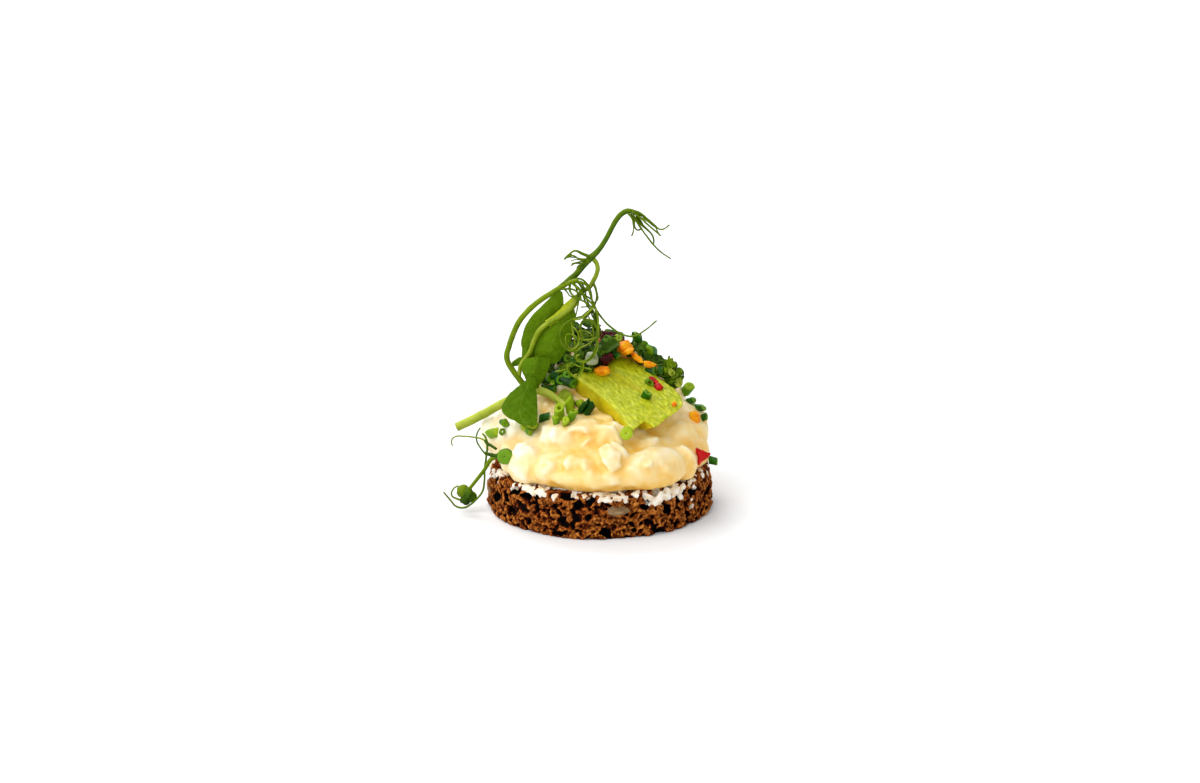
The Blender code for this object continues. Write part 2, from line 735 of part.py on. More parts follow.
SHOOT_STEMS = (
    (
        (-35.1, 18.8, 2.0, 1.1),
        (-31.9, 20.3, 1.6, 1.1),
        (-28.2, 22.2, 1.0, 1.1),
        (-23.3, 24.9, 0.0, 1.08),
        (-19.6, 26.6, -0.4, 1.05),
        (-17.0, 27.7, -0.6, 1.0),
        (-13.5, 27.3, -1.0, 1.0),
        (-10.1, 25.3, -2.4, 0.9),
        (-8.3, 23.8, -4.2, 0.75),
    ),
    (
        (-17.4, 27.4, -0.5, 0.8),
        (-19.1, 29.6, -0.4, 0.74),
        (-21.3, 32.6, 0.0, 0.72),
        (-22.6, 34.7, 0.2, 0.7),
        (-22.9, 36.3, 0.2, 0.72),
        (-22.3, 38.7, 0.0, 0.7),
        (-21.3, 41.6, -0.2, 0.7),
        (-19.9, 44.6, -0.4, 0.7),
        (-17.8, 47.2, -0.7, 0.68),
        (-15.1, 49.6, -1.0, 0.66),
        (-11.9, 51.7, -1.2, 0.66),
        (-9.3, 53.3, -1.5, 0.62),
        (-7.1, 54.4, -1.8, 0.5),
        (-5.4, 54.9, -2.2, 0.36),
    ),
    (
        (-10.2, 52.8, -1.0, 0.6),
        (-7.5, 54.9, 0.6, 0.76),
        (-5.7, 56.5, 0.9, 0.8),
        (-3.9, 58.7, 1.0, 0.82),
        (-2.1, 60.5, 1.0, 0.84),
        (-0.3, 62.3, 1.0, 0.66),
        (1.4, 64.8, 1.1, 0.62),
        (2.8, 67.5, 1.2, 0.62),
        (4.2, 69.9, 1.2, 0.66),
        (5.3, 71.1, 1.2, 0.68),
        (6.8, 71.8, 1.1, 0.68),
        (8.2, 71.6, 1.0, 0.56),
        (9.4, 70.7, 0.9, 0.4),
    ),
    (
        (-19.9, 31.2, -0.2, 0.5),
        (-19.4, 34.0, -0.6, 0.55),
        (-17.5, 36.6, -0.6, 0.6),
        (-16.1, 40.0, -0.5, 0.62),
        (-14.9, 42.4, -0.5, 0.66),
        (-12.8, 44.2, -0.6, 0.66),
        (-9.8, 46.0, -0.8, 0.72),
        (-7.6, 47.6, -0.9, 0.75),
        (-6.1, 49.6, -0.7, 0.72),
        (-4.7, 51.8, -0.2, 0.6),
        (-2.6, 53.1, 0.4, 0.56),
        (-1.7, 54.6, 0.6, 0.54),
        (-0.8, 56.5, 0.8, 0.54),
        (-0.6, 58.2, 0.9, 0.54),
        (-1.4, 59.8, 1.0, 0.56),
        (-2.4, 60.4, 1.0, 0.5),
    ),
    (
        (-17.0, 27.9, -0.7, 0.7),
        (-16.4, 29.2, -1.9, 0.5),
        (-16.5, 31.0, -3.3, 0.42),
        (-18.1, 28.4, -6.7, 0.34),
        (-19.5, 25.0, -9.8, 0.28),
    ),
)

SHOOT_TENDRILS = (
    ((8.0, 71.5, 1.0, 0.36), (10.0, 70.9, 0.8, 0.26), (11.8, 69.4, 0.4, 0.23), (13.4, 68.0, 0.0, 0.21),
     (15.0, 67.3, -0.3, 0.2), (16.0, 67.6, -0.5, 0.19), (17.0, 68.4, -0.6, 0.18)),
    ((8.0, 70.9, 1.0, 0.34), (10.0, 67.7, 0.8, 0.25), (11.8, 65.2, 0.6, 0.22), (13.6, 63.0, 0.4, 0.21),
     (15.4, 61.4, 0.4, 0.2), (17.4, 60.1, 0.4, 0.18)),
    ((8.8, 70.4, 1.3, 0.3), (10.0, 68.9, 1.9, 0.24), (11.8, 67.1, 2.2, 0.21), (12.9, 65.8, 2.3, 0.2),
     (13.2, 63.9, 2.2, 0.18)),
    ((8.8, 71.1, 0.8, 0.3), (10.4, 69.8, 0.0, 0.24), (11.8, 68.4, -0.6, 0.22), (13.7, 66.8, -1.0, 0.2),
     (14.9, 65.7, -1.2, 0.18)),
    ((7.0, 71.2, 0.8, 0.34), (7.9, 69.9, 0.3, 0.22), (8.2, 68.5, 0.0, 0.2), (8.2, 67.0, 0.1, 0.19),
     (7.8, 65.7, 0.3, 0.18)),
    ((7.8, 70.9, 1.4, 0.3), (8.4, 69.2, 1.9, 0.21), (8.6, 67.8, 2.2, 0.2), (9.3, 67.1, 2.3, 0.19),
     (10.4, 67.6, 2.2, 0.18)),
    ((9.0, 71.1, 1.2, 0.3), (11.0, 70.3, 1.8, 0.22), (13.0, 68.7, 2.0, 0.2), (14.4, 67.4, 1.8, 0.18)),
    ((-2.2, 60.5, 0.8, 0.34), (-4.4, 61.5, 0.2, 0.24), (-6.1, 62.1, -0.2, 0.21), (-7.8, 61.0, -0.5, 0.19),
     (-8.8, 60.0, -0.6, 0.18)),
    ((-3.0, 59.7, 0.8, 0.32), (-4.9, 59.9, 0.0, 0.24), (-6.9, 60.9, -0.6, 0.2), (-8.0, 60.3, -0.9, 0.18)),
    ((-3.6, 59.0, 0.8, 0.3), (-5.0, 59.0, 0.2, 0.22), (-6.3, 58.9, -0.3, 0.2), (-7.1, 58.4, -0.6, 0.18)),
    ((-3.9, 58.7, 0.8, 0.3), (-5.4, 58.3, 1.4, 0.2), (-5.7, 57.2, 1.8, 0.18)),
    ((-6.4, 54.6, -1.9, 0.4), (-3.3, 53.6, -2.6, 0.3), (-2.4, 51.4, -3.0, 0.28), (-1.5, 48.7, -3.3, 0.27),
     (0.6, 45.4, -3.6, 0.27), (2.7, 43.3, -3.8, 0.25), (5.5, 41.5, -3.8, 0.24), (8.3, 41.1, -3.6, 0.22),
     (10.7, 42.3, -3.2, 0.2), (13.9, 44.9, -2.8, 0.18)),
    ((-6.8, 54.2, -1.9, 0.36), (-5.2, 52.6, -2.8, 0.28), (-3.6, 50.6, -3.4, 0.26), (-1.8, 48.8, -3.7, 0.25),
     (-0.8, 46.6, -4.0, 0.25), (-0.6, 43.6, -4.2, 0.25), (-0.7, 40.6, -4.3, 0.25), (-1.2, 37.6, -4.3, 0.25),
     (-2.2, 35.6, -4.2, 0.25), (-4.2, 34.8, -4.0, 0.24)),
    ((-7.4, 53.9, -1.6, 0.34), (-7.3, 52.0, -2.2, 0.26), (-6.0, 50.6, -2.9, 0.24), (-3.6, 49.4, -3.2, 0.24),
     (-1.9, 47.8, -3.2, 0.23), (-1.2, 45.0, -3.2, 0.23), (0.2, 42.6, -3.4, 0.22)),
    ((-5.6, 54.8, -2.0, 0.34), (-4.4, 52.8, -2.0, 0.26), (-3.9, 50.4, -2.4, 0.24), (-3.0, 48.4, -2.6, 0.24),
     (-1.5, 46.6, -2.6, 0.23), (-0.9, 44.0, -2.6, 0.22), (-0.2, 41.4, -2.8, 0.2)),
    ((-1.7, 54.2, 0.2, 0.34), (-0.9, 52.2, -0.6, 0.25), (-0.9, 50.0, -1.6, 0.24), (-1.7, 48.2, -2.6, 0.24),
     (-3.2, 47.0, -3.2, 0.23), (-4.6, 45.8, -3.8, 0.22)),
    ((-2.0, 48.4, -3.4, 0.26), (-3.4, 46.2, -4.2, 0.25), (-4.9, 45.8, -4.8, 0.25), (-7.2, 45.0, -5.2, 0.25),
     (-9.3, 43.2, -5.4, 0.25), (-9.7, 40.8, -5.4, 0.25), (-8.8, 38.4, -5.2, 0.25), (-7.0, 37.4, -4.9, 0.25),
     (-5.2, 38.4, -4.6, 0.24), (-4.4, 40.4, -4.5, 0.23), (-4.6, 42.8, -4.6, 0.22)),
    ((-2.4, 47.4, -3.6, 0.26), (-4.2, 44.8, -4.2, 0.24), (-4.6, 42.4, -3.9, 0.23), (-2.6, 41.0, -3.7, 0.22),
     (-1.0, 41.4, -3.7, 0.2)),
    ((-4.3, 44.9, -4.4, 0.25), (-1.9, 44.9, -4.9, 0.24), (-0.8, 43.2, -5.2, 0.24), (-0.7, 40.9, -5.4, 0.24),
     (-1.0, 38.4, -5.4, 0.24), (-1.8, 36.6, -5.3, 0.24), (-3.2, 35.2, -5.1, 0.24), (-5.0, 35.2, -4.9, 0.23),
     (-6.2, 36.2, -4.8, 0.22), (-6.0, 37.6, -4.9, 0.2)),
    ((-5.0, 35.3, -4.9, 0.24), (-4.6, 33.6, -4.7, 0.24), (-5.2, 31.8, -4.6, 0.23), (-6.6, 31.2, -4.5, 0.23),
     (-7.9, 32.4, -4.5, 0.22), (-8.2, 34.0, -4.6, 0.21), (-6.6, 34.4, -4.7, 0.2)),
)

# Each leaf: rows from one end to the other, of its left edge, its midrib and its right edge.
SHOOT_LEAVES = (
    (
        ((-17.0, 31.0, -3.2), (-16.5, 31.2, -3.2), (-15.9, 31.0, -3.1)),
        ((-20.4, 28.6, -6.3), (-18.2, 28.2, -6.8), (-15.7, 28.0, -5.8)),
        ((-23.6, 25.6, -9.0), (-19.6, 24.9, -10.0), (-15.4, 24.6, -8.8)),
        ((-24.5, 22.5, -11.4), (-20.0, 21.9, -12.6), (-15.3, 21.6, -11.4)),
        ((-22.6, 20.5, -13.0), (-19.0, 19.7, -14.0), (-15.4, 19.7, -13.0)),
        ((-19.2, 18.8, -14.0), (-17.8, 17.5, -14.5), (-15.9, 18.1, -13.8)),
    ),
    (
        ((-16.9, 28.2, -1.1), (-16.3, 27.8, -1.2), (-15.5, 27.8, -1.1)),
        ((-18.7, 31.2, -1.8), (-16.4, 31.6, -3.8), (-13.7, 30.8, -1.9)),
        ((-19.7, 33.8, -1.9), (-16.5, 33.9, -4.2), (-12.4, 33.4, -2.2)),
        ((-18.2, 35.6, -1.8), (-15.6, 36.0, -3.2), (-12.0, 35.6, -2.2)),
    ),
    (
        ((-9.4, 46.8, -0.4), (-8.2, 46.9, -0.8), (-7.2, 46.6, -0.4)),
        ((-11.8, 44.7, 0.4), (-9.6, 44.1, -1.2), (-7.0, 43.5, 0.8)),
        ((-14.4, 41.7, 0.5), (-11.4, 41.3, -1.7), (-8.4, 40.8, 1.0)),
        ((-15.7, 38.6, 0.2), (-12.8, 38.3, -1.5), (-9.8, 38.4, 0.9)),
        ((-15.6, 36.4, -0.6), (-13.8, 35.8, -0.9), (-12.2, 36.2, 0.2)),
    ),
    (
        ((-10.8, 52.3, -0.9), (-10.0, 52.6, -1.0), (-9.4, 52.0, -0.9)),
        ((-12.7, 49.6, 2.0), (-11.4, 48.7, 1.0), (-9.8, 47.6, 1.6)),
        ((-16.0, 46.8, 2.6), (-14.4, 46.0, 1.3), (-12.2, 45.0, 1.8)),
        ((-18.5, 42.9, 2.6), (-16.8, 42.2, 1.1), (-14.4, 41.4, 1.6)),
        ((-19.1, 39.4, 2.2), (-17.9, 39.0, 0.9), (-15.8, 38.4, 1.0)),
        ((-18.8, 36.2, 1.4), (-18.2, 36.3, 0.4), (-17.2, 36.4, 0.2)),
    ),
    (
        ((-5.8, 51.3, -0.5), (-5.2, 51.2, -0.8), (-4.5, 50.8, -0.5)),
        ((-9.0, 49.0, -0.2), (-7.4, 48.4, -1.4), (-5.9, 47.9, -0.3)),
        ((-10.4, 46.7, -0.2), (-9.4, 46.2, -1.4), (-8.4, 45.7, -0.3)),
        ((-13.5, 44.9, 0.1), (-12.9, 44.3, -1.1), (-12.3, 43.7, 0.0)),
    ),
    (
        ((-18.6, 36.0, 1.0), (-18.4, 35.4, 0.8), (-18.2, 34.8, 0.6)),
        ((-20.0, 36.0, 1.8), (-20.0, 35.0, 1.2), (-19.8, 33.8, 1.2)),
        ((-21.6, 34.6, 2.0), (-21.6, 34.2, 1.8), (-21.4, 33.6, 1.8)),
    ),
)


def tube(points, sides, steps):
    """A tapered round stem through the points, closed at both ends."""
    path = bpy.data.curves.new("stem", "CURVE")
    path.dimensions = "3D"
    path.bevel_depth = 1.0
    path.bevel_resolution = (sides - 4) // 2
    path.use_fill_caps = True
    path.resolution_u = steps
    spline = path.splines.new("BEZIER")
    spline.bezier_points.add(len(points) - 1)
    for knot, (right, up, depth, radius) in zip(spline.bezier_points, points):
        knot.co = seen(right, up, depth)
        knot.radius = radius
        knot.handle_left_type = "AUTO"
        knot.handle_right_type = "AUTO"
    helper = bpy.data.objects.new("stem", path)
    CUTTERS.objects.link(helper)
    mesh = baked(helper)
    bpy.data.objects.remove(helper, do_unlink=True)
    bm = bmesh.new()
    bm.from_mesh(mesh)
    bmesh.ops.remove_doubles(bm, verts=bm.verts[:], dist=0.001)
    bmesh.ops.triangulate(bm, faces=bm.faces[:])
    bmesh.ops.recalc_face_normals(bm, faces=bm.faces[:])
    return mesh_object("stem", bm, CUTTERS)


def leaf(rows, thick, levels):
    """A wavy sheet through the rows, triangulated and then thickened, so that both faces are alike."""
    bm = bmesh.new()
    grid = [[bm.verts.new(seen(*place)) for place in row] for row in rows]
    for here, there in zip(grid, grid[1:]):
        for column in range(2):
            bm.faces.new((here[column], here[column + 1], there[column + 1], there[column]))
    bmesh.ops.recalc_face_normals(bm, faces=bm.faces[:])
    sheet = mesh_object("leaf", bm, CUTTERS)
    soft = sheet.modifiers.new("soft", "SUBSURF")
    soft.levels = levels
    soft.render_levels = levels
    soft.boundary_smooth = "PRESERVE_CORNERS"
    apply_modifiers(sheet)
    bm = bmesh.new()
    bm.from_mesh(sheet.data)
    bmesh.ops.triangulate(bm, faces=bm.faces[:])
    bm.to_mesh(sheet.data)
    bm.free()
    depth = sheet.modifiers.new("depth", "SOLIDIFY")
    depth.thickness = thick
    depth.offset = 0.0
    apply_modifiers(sheet)
    bm = bmesh.new()
    bm.from_mesh(sheet.data)
    bmesh.ops.triangulate(bm, faces=bm.faces[:])
    bmesh.ops.recalc_face_normals(bm, faces=bm.faces[:])
    bm.to_mesh(sheet.data)
    bm.free()
    return sheet


def shoot_form():
    pieces = [tube(points, 6, 1 if len(points) > 9 else 2) for points in SHOOT_STEMS]
    pieces += [tube(points, 4, 1 if index < 11 else 2) for index, points in enumerate(SHOOT_TENDRILS)]
    pieces += [leaf(rows, 0.5, 1) for rows in SHOOT_LEAVES]
    body = pieces.pop(0)
    CUTTERS.objects.unlink(body)
    PARTS.objects.link(body)
    body.hide_render = False
    join_pieces(body, pieces, "MANIFOLD")
    return body


shoot = shoot_form()


# The small sprig that hangs off the left side, down to a bud near the floor.

SPRIG_STEMS = (
    ((-24.9, 11.9, -9.2, 0.6), (-26.8, 10.8, -8.6, 0.55), (-28.3, 8.4, -7.8, 0.48),
     (-29.9, 6.3, -7.2, 0.46), (-31.6, 4.2, -6.6, 0.44), (-33.0, 2.6, -6.2, 0.42)),
    ((-28.9, 17.2, -7.6, 0.2), (-28.2, 16.4, -8.0, 0.26), (-27.7, 14.6, -8.3, 0.28),
     (-27.9, 11.7, -8.2, 0.27), (-28.3, 8.6, -7.8, 0.26), (-28.4, 5.3, -7.9, 0.25),
     (-28.9, 2.9, -7.8, 0.25), (-30.5, 0.9, -7.6, 0.25), (-31.9, -0.3, -7.4, 0.25),
     (-33.3, -1.0, -7.4, 0.25), (-35.3, -0.7, -7.3, 0.24), (-36.8, 0.9, -7.2, 0.22),
     (-38.4, 2.8, -7.0, 0.2)),
    ((-27.8, 15.2, -8.2, 0.24), (-29.1, 15.9, -7.8, 0.21), (-30.5, 16.2, -7.2, 0.2),
     (-33.3, 16.5, -6.6, 0.19), (-35.8, 16.3, -6.0, 0.18), (-36.5, 15.1, -5.7, 0.17),
     (-36.2, 14.2, -5.6, 0.16)),
    ((-27.9, 11.9, -8.2, 0.25), (-29.3, 13.6, -7.4, 0.22), (-30.3, 15.6, -6.8, 0.21),
     (-30.1, 17.4, -6.4, 0.2), (-29.4, 18.6, -6.2, 0.18)),
    ((-27.8, 14.8, -8.3, 0.26), (-26.7, 14.2, -9.3, 0.26), (-25.7, 13.6, -10.4, 0.24)),
    ((-33.2, 0.6, -6.4, 0.3), (-35.2, 1.2, -6.0, 0.26), (-36.4, 2.0, -5.6, 0.22), (-36.0, 3.6, -5.2, 0.2),
     (-34.8, 4.4, -5.2, 0.18)),
)
BUD_LOBES = (
    (-33.8, 3.1, -5.9, 1.45, 1.3, 1.5),
    (-31.8, 1.7, -6.0, 1.1, 1.2, 1.2),
    (-33.3, 0.9, -6.6, 1.25, 1.2, 1.2),
    (-32.4, 2.9, -5.2, 1.0, 1.1, 1.3),
)


def side_sprig_form():
    pieces = [tube(SPRIG_STEMS[0], 6, 1), tube(SPRIG_STEMS[1], 4, 1)]
    pieces += [tube(points, 4, 2) for points in SPRIG_STEMS[2:]]
    for right, up, depth, wide, deep, high in BUD_LOBES:
        bm = bmesh.new()
        lump(bm, seen(right, up, depth), (wide, deep, high), fineness=2 if wide > 1.3 else 1)
        pieces.append(mesh_object("lobe", bm, CUTTERS))
    body = pieces.pop(0)
    CUTTERS.objects.unlink(body)
    PARTS.objects.link(body)
    body.hide_render = False
    join_pieces(body, pieces, "MANIFOLD")
    return body


side_sprig = side_sprig_form()


# The frilly sprig behind the avocado's right edge.

CURLY_STEMS = (
    ((17.3, 28.9, 4.2, 0.5), (17.2, 30.6, 4.0, 0.45), (17.0, 33.0, 3.8, 0.35)),
    ((17.2, 30.4, 3.9, 0.3), (15.4, 31.0, 3.2, 0.22), (14.0, 32.4, 2.8, 0.22), (13.6, 33.4, 2.8, 0.2),
     (14.8, 34.1, 2.9, 0.2), (16.2, 33.6, 3.2, 0.2), (16.9, 32.6, 3.5, 0.22)),
    ((17.4, 30.2, 4.0, 0.3), (19.2, 30.0, 4.0, 0.22), (20.3, 31.2, 4.0, 0.2), (20.3, 32.6, 4.0, 0.2),
     (19.2, 33.4, 4.0, 0.2)),
)
CURLY_FRILLS = (
    (16.9, 33.9, 3.8, 1.0, 0.6, 1.9, 6),
    (17.9, 33.2, 4.0, 0.9, 0.6, 1.9, -14),
    (16.0, 31.0, 3.7, 1.4, 0.8, 1.0, 30),
    (17.4, 30.6, 3.4, 1.3, 0.9, 1.4, -20),
    (18.9, 31.8, 3.9, 1.2, 0.7, 1.2, 40),
    (19.6, 30.6, 4.1, 1.0, 0.7, 1.3, -30),
    (18.6, 29.6, 4.2, 1.3, 0.8, 0.9, 10),
    (16.6, 32.2, 4.2, 0.9, 0.7, 1.2, -8),
)


def curly_sprig_form():
    pieces = [tube(points, 4, 2) for points in CURLY_STEMS]
    for seed, (right, up, depth, wide, deep, high, turn) in enumerate(CURLY_FRILLS):
        bm = bmesh.new()
        spin = Matrix.Rotation(math.radians(turn), 4, "Y")
        verts = lump(bm, seen(right, up, depth), (wide, deep, high), spin, fineness=1)
        rough(verts, 0.22, 70 + seed)
        pieces.append(mesh_object("frill", bm, CUTTERS))
    body = pieces.pop(0)
    CUTTERS.objects.unlink(body)
    PARTS.objects.link(body)
    body.hide_render = False
    join_pieces(body, pieces, "MANIFOLD")
    return body


curly_sprig = curly_sprig_form()
for piece in (shoot, side_sprig, curly_sprig):
    make_room(salad, piece)
make_room(avocado, shoot)
thin_out(salad, 4600)


finish(bread, "bread_round", new_material("dark_bread", (0.24, 0.11, 0.04), 0.9))
finish(butter, "butter_layer", new_material("butter", (0.93, 0.86, 0.72), 0.5))
finish(salad, "salad_mound", new_material("creamy_salad", (0.93, 0.8, 0.5), 0.4))
finish(avocado, "avocado_slice", new_material("avocado_flesh", (0.42, 0.52, 0.06), 0.45), False)
finish(shoot, "pea_shoot", new_material("pea_green", (0.12, 0.27, 0.03), 0.5))
finish(side_sprig, "side_sprig", new_material("sprig_green", (0.12, 0.25, 0.03), 0.5))
finish(curly_sprig, "curly_sprig", new_material("herb_green", (0.06, 0.2, 0.02), 0.5))
for part in PARTS.objects:
    print(part.name, len(part.data.polygons))
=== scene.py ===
# %% [markdown]
# # An open sandwich on a round of dark bread
# The real thing is small: a stamped round of dark bread, thin butter, a heap of creamy salad, a slice of
# avocado, chopped chives, orange and red bits, and a pea shoot with its tendrils standing over it all.
# The solids of the frame already have every main form. Each of them is soft or fine, so each is replaced
# here by a detailed piece in the same place. First come the frame and its size.

# %% Load the frame
import math
import random

import bmesh
import bpy
import numpy as np
from mathutils import Matrix, Vector, noise
from mathutils.bvhtree import BVHTree


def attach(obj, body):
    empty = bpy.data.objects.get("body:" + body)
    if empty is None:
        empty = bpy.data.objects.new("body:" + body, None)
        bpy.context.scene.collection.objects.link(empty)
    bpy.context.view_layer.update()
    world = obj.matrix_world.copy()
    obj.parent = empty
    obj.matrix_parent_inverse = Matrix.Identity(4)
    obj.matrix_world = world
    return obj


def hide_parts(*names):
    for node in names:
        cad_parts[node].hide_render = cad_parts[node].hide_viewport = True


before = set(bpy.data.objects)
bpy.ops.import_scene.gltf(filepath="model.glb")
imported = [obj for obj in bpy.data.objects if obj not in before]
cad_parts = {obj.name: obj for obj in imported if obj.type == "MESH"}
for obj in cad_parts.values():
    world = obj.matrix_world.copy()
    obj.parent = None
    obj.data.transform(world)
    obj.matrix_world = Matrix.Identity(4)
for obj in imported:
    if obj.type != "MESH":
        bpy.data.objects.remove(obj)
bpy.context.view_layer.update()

# %% [markdown]
# ## The camera first
# The sandwich is seen from 17 degrees above the table, from nearly a metre, through a long lens. Such a
# view could be set by eye, but here it is worked out, because the same numbers are used again: a point of
# the front view is given as millimetres right of and above the middle of the bread's underside, and its
# depth completes it. So what is read off the front view lands where it belongs, seen from any side.

# %% The front view
RISE = math.radians(17)
REACH = 958.0
AIM_UP = 27.5
PIXELS_PER_MM = 4.073
PICTURE_WIDTH = 1200
SENSOR = 36
MM = 0.001


def seen(right, up, depth):
    """The point at this depth (mm, away from the front) that shows right of and above the base."""
    above = up - AIM_UP
    reach = (REACH + depth / math.cos(RISE) - AIM_UP * math.tan(RISE)) / (
        1 + math.tan(RISE) * above / REACH
    )
    height = (AIM_UP + above * reach / REACH - depth * math.sin(RISE)) / math.cos(RISE)
    return Vector((right * reach / REACH, depth, height))


AIM = Vector((0, 0, AIM_UP / math.cos(RISE)))
TOWARDS_EYE = Vector((0, -math.cos(RISE), math.sin(RISE)))
EYE = AIM + TOWARDS_EYE * (REACH - AIM_UP * math.tan(RISE))


def sight(right, up):
    """The direction from the eye to what shows at this place."""
    return (seen(right, up, 0) - EYE).normalized()


bpy.ops.object.select_all(action="DESELECT")
bpy.ops.object.camera_add(location=EYE * MM, rotation=TOWARDS_EYE.to_track_quat("Z", "Y").to_euler())
camera = bpy.context.object
camera.name = "front_camera"
camera.data.sensor_width = SENSOR
camera.data.lens = SENSOR * PIXELS_PER_MM * REACH / PICTURE_WIDTH
camera.data.clip_start = 0.01
bpy.context.scene.camera = camera
print("lens", round(camera.data.lens, 2), "mm, eye at", [round(value) for value in EYE])

# %% [markdown]
# ## A small bench of tools
# Everything is modelled in millimetres and made metres at the end, because voxel sizes and bevels are
# easier to think of that way. Four tools do most of the work: one adds a modifier and applies it, one makes
# many joined copies of a small form, one casts a line of sight on a surface, and one measures how far each
# corner stands out from its surroundings. The last is used to paint highlight on what stands out and shade in
# the hollows of crumb and salad.

# %% Tools: selecting, modifiers and copies
def unselect():
    bpy.ops.object.select_all(action="DESELECT")


def pick(obj):
    """Makes one object the only selected and active one."""
    unselect()
    obj.select_set(True)
    bpy.context.view_layer.objects.active = obj


def named(name):
    """Names what was just added."""
    made = bpy.context.object
    made.name = name
    made.data.name = name
    return made


def modify(obj, kind, **settings):
    """Adds a modifier and applies it at once."""
    pick(obj)
    added = obj.modifiers.new(kind.lower(), kind)
    for key, value in settings.items():
        setattr(added, key, value)
    bpy.ops.object.modifier_apply(modifier=added.name)


def drop(*objects):
    for obj in objects:
        bpy.data.objects.remove(obj, do_unlink=True)


def points_of(mesh):
    flat = np.empty(len(mesh.vertices) * 3, np.float32)
    mesh.vertices.foreach_get("co", flat)
    return flat.reshape(-1, 3)


def normals_of(mesh):
    flat = np.empty(len(mesh.vertices) * 3, np.float32)
    mesh.vertices.foreach_get("normal", flat)
    return flat.reshape(-1, 3)


def move_points(mesh, points):
    mesh.vertices.foreach_set("co", np.asarray(points, np.float32).ravel())
    mesh.update()


def store(mesh, name, values):
    """Keeps one number for each corner, for a material to read."""
    layer = mesh.attributes.get(name) or mesh.attributes.new(name, "FLOAT", "POINT")
    layer.data.foreach_set("value", np.asarray(values, np.float32))


def stored(mesh, name):
    values = np.zeros(len(mesh.vertices), np.float32)
    if name in mesh.attributes:
        mesh.attributes[name].data.foreach_get("value", values)
    return values


def copies(pattern, places, name, tones=None):
    """One mesh with a copy of the pattern for each matrix, and each copy's tone."""
    mesh = pattern.data
    base = np.c_[points_of(mesh), np.ones(len(mesh.vertices))]
    count = len(base)
    points = np.concatenate([(base @ np.array(place).T)[:, :3] for place in places])
    faces = [tuple(face.vertices) for face in mesh.polygons]
    all_faces = [tuple(v + count * i for v in face) for i in range(len(places)) for face in faces]
    made = bpy.data.meshes.new(name)
    made.from_pydata(points.tolist(), [], all_faces)
    store(made, "cut", np.tile(stored(mesh, "cut"), len(places)))
    store(made, "tone", np.repeat(tones if tones else [0.5] * len(places), count))
    obj = bpy.data.objects.new(name, made)
    bpy.context.scene.collection.objects.link(obj)
    return obj


def join(objects, name):
    """Joins objects into the first of them."""
    pick(objects[0])
    for obj in objects:
        obj.select_set(True)
    bpy.ops.object.join()
    return named(name)


# %% Tools: surfaces
def surface_of(*objects):
    points = []
    faces = []
    for obj in objects:
        start = len(points)
        points += [vert.co.copy() for vert in obj.data.vertices]
        faces += [tuple(v + start for v in face.vertices) for face in obj.data.polygons]
    return BVHTree.FromPolygons(points, faces)


def hit(surface, right, up, pull=0.3):
    """Where the line of sight meets a surface or passes nearest to it, and the normal there."""
    place, normal, _, _ = surface.ray_cast(EYE, sight(right, up))
    if place is None:
        passing = [seen(right, up, depth) for depth in range(-20, 24)]
        closest = min(passing, key=lambda point: surface.find_nearest(point)[3])
        on_it, normal, _, _ = surface.find_nearest(closest)
        place = closest.lerp(on_it, pull)
    return place, normal


def around(out, angle, height):
    """The place this far out from the middle, at this angle and height."""
    return Vector((out * math.cos(angle), out * math.sin(angle), height))


def facing(normal, turn=0.0):
    """A rotation that takes +Z to the normal, with a turn about it."""
    turned = Matrix.Rotation(turn, 4, "Z")
    return Vector(normal).to_track_quat("Z", "Y").to_matrix().to_4x4() @ turned


def stretched(centre, radii, turn=Matrix()):
    """The matrix that makes a unit form this large, turned and placed."""
    return Matrix.Translation(centre) @ turn @ Matrix.Diagonal((*radii, 1.0))


def raised(mesh, rounds):
    """How far each corner stands out from a smoothed copy of the surface."""
    ends = np.empty(len(mesh.edges) * 2, np.int32)
    mesh.edges.foreach_get("vertices", ends)
    first, second = ends[0::2], ends[1::2]
    points = points_of(mesh).astype(float)
    size = len(points)
    near = np.bincount(ends, minlength=size)
    soft = points.copy()
    for _ in range(rounds):
        for axis in range(3):
            total = np.bincount(first, soft[second, axis], size)
            total += np.bincount(second, soft[first, axis], size)
            soft[:, axis] = total / np.maximum(near, 1)
    return ((points - soft) * normals_of(mesh)).sum(1)


def roll(mesh, layers, seed=0.0):
    """Moves each corner along its normal by noise: each layer is a bump size and a height."""
    points = points_of(mesh)
    normals = normals_of(mesh)
    shift = Vector((seed, seed * 2, seed * 3))
    moves = np.zeros(len(points))
    for size, height in layers:
        moves += [height * noise.noise(Vector(point) / size + shift) for point in points]
    move_points(mesh, points + normals * moves[:, None])


def largest_only(obj):
    """Deletes every loose part but the one with the most corners."""
    ends = np.empty(len(obj.data.edges) * 2, np.int32)
    obj.data.edges.foreach_get("vertices", ends)
    label = np.arange(len(obj.data.vertices))
    first, second = ends[0::2], ends[1::2]
    while True:
        low = np.minimum(label[first], label[second])
        before = label.copy()
        np.minimum.at(label, first, low)
        np.minimum.at(label, second, low)
        label = label[label]
        if (label == before).all():
            break
    keep = np.bincount(label).argmax()
    bm = bmesh.new()
    bm.from_mesh(obj.data)
    loose = [vert for vert in bm.verts if label[vert.index] != keep]
    bmesh.ops.delete(bm, geom=loose, context="VERTS")
    bm.to_mesh(obj.data)
    bm.free()
    return len(loose)


def sealed(obj, merge=0.001):
    """Merges corners that coincide and turns every face outwards."""
    bm = bmesh.new()
    bm.from_mesh(obj.data)
    if merge:
        bmesh.ops.remove_doubles(bm, verts=bm.verts[:], dist=merge)
    bmesh.ops.recalc_face_normals(bm, faces=bm.faces[:])
    bm.to_mesh(obj.data)
    bm.free()
    return obj


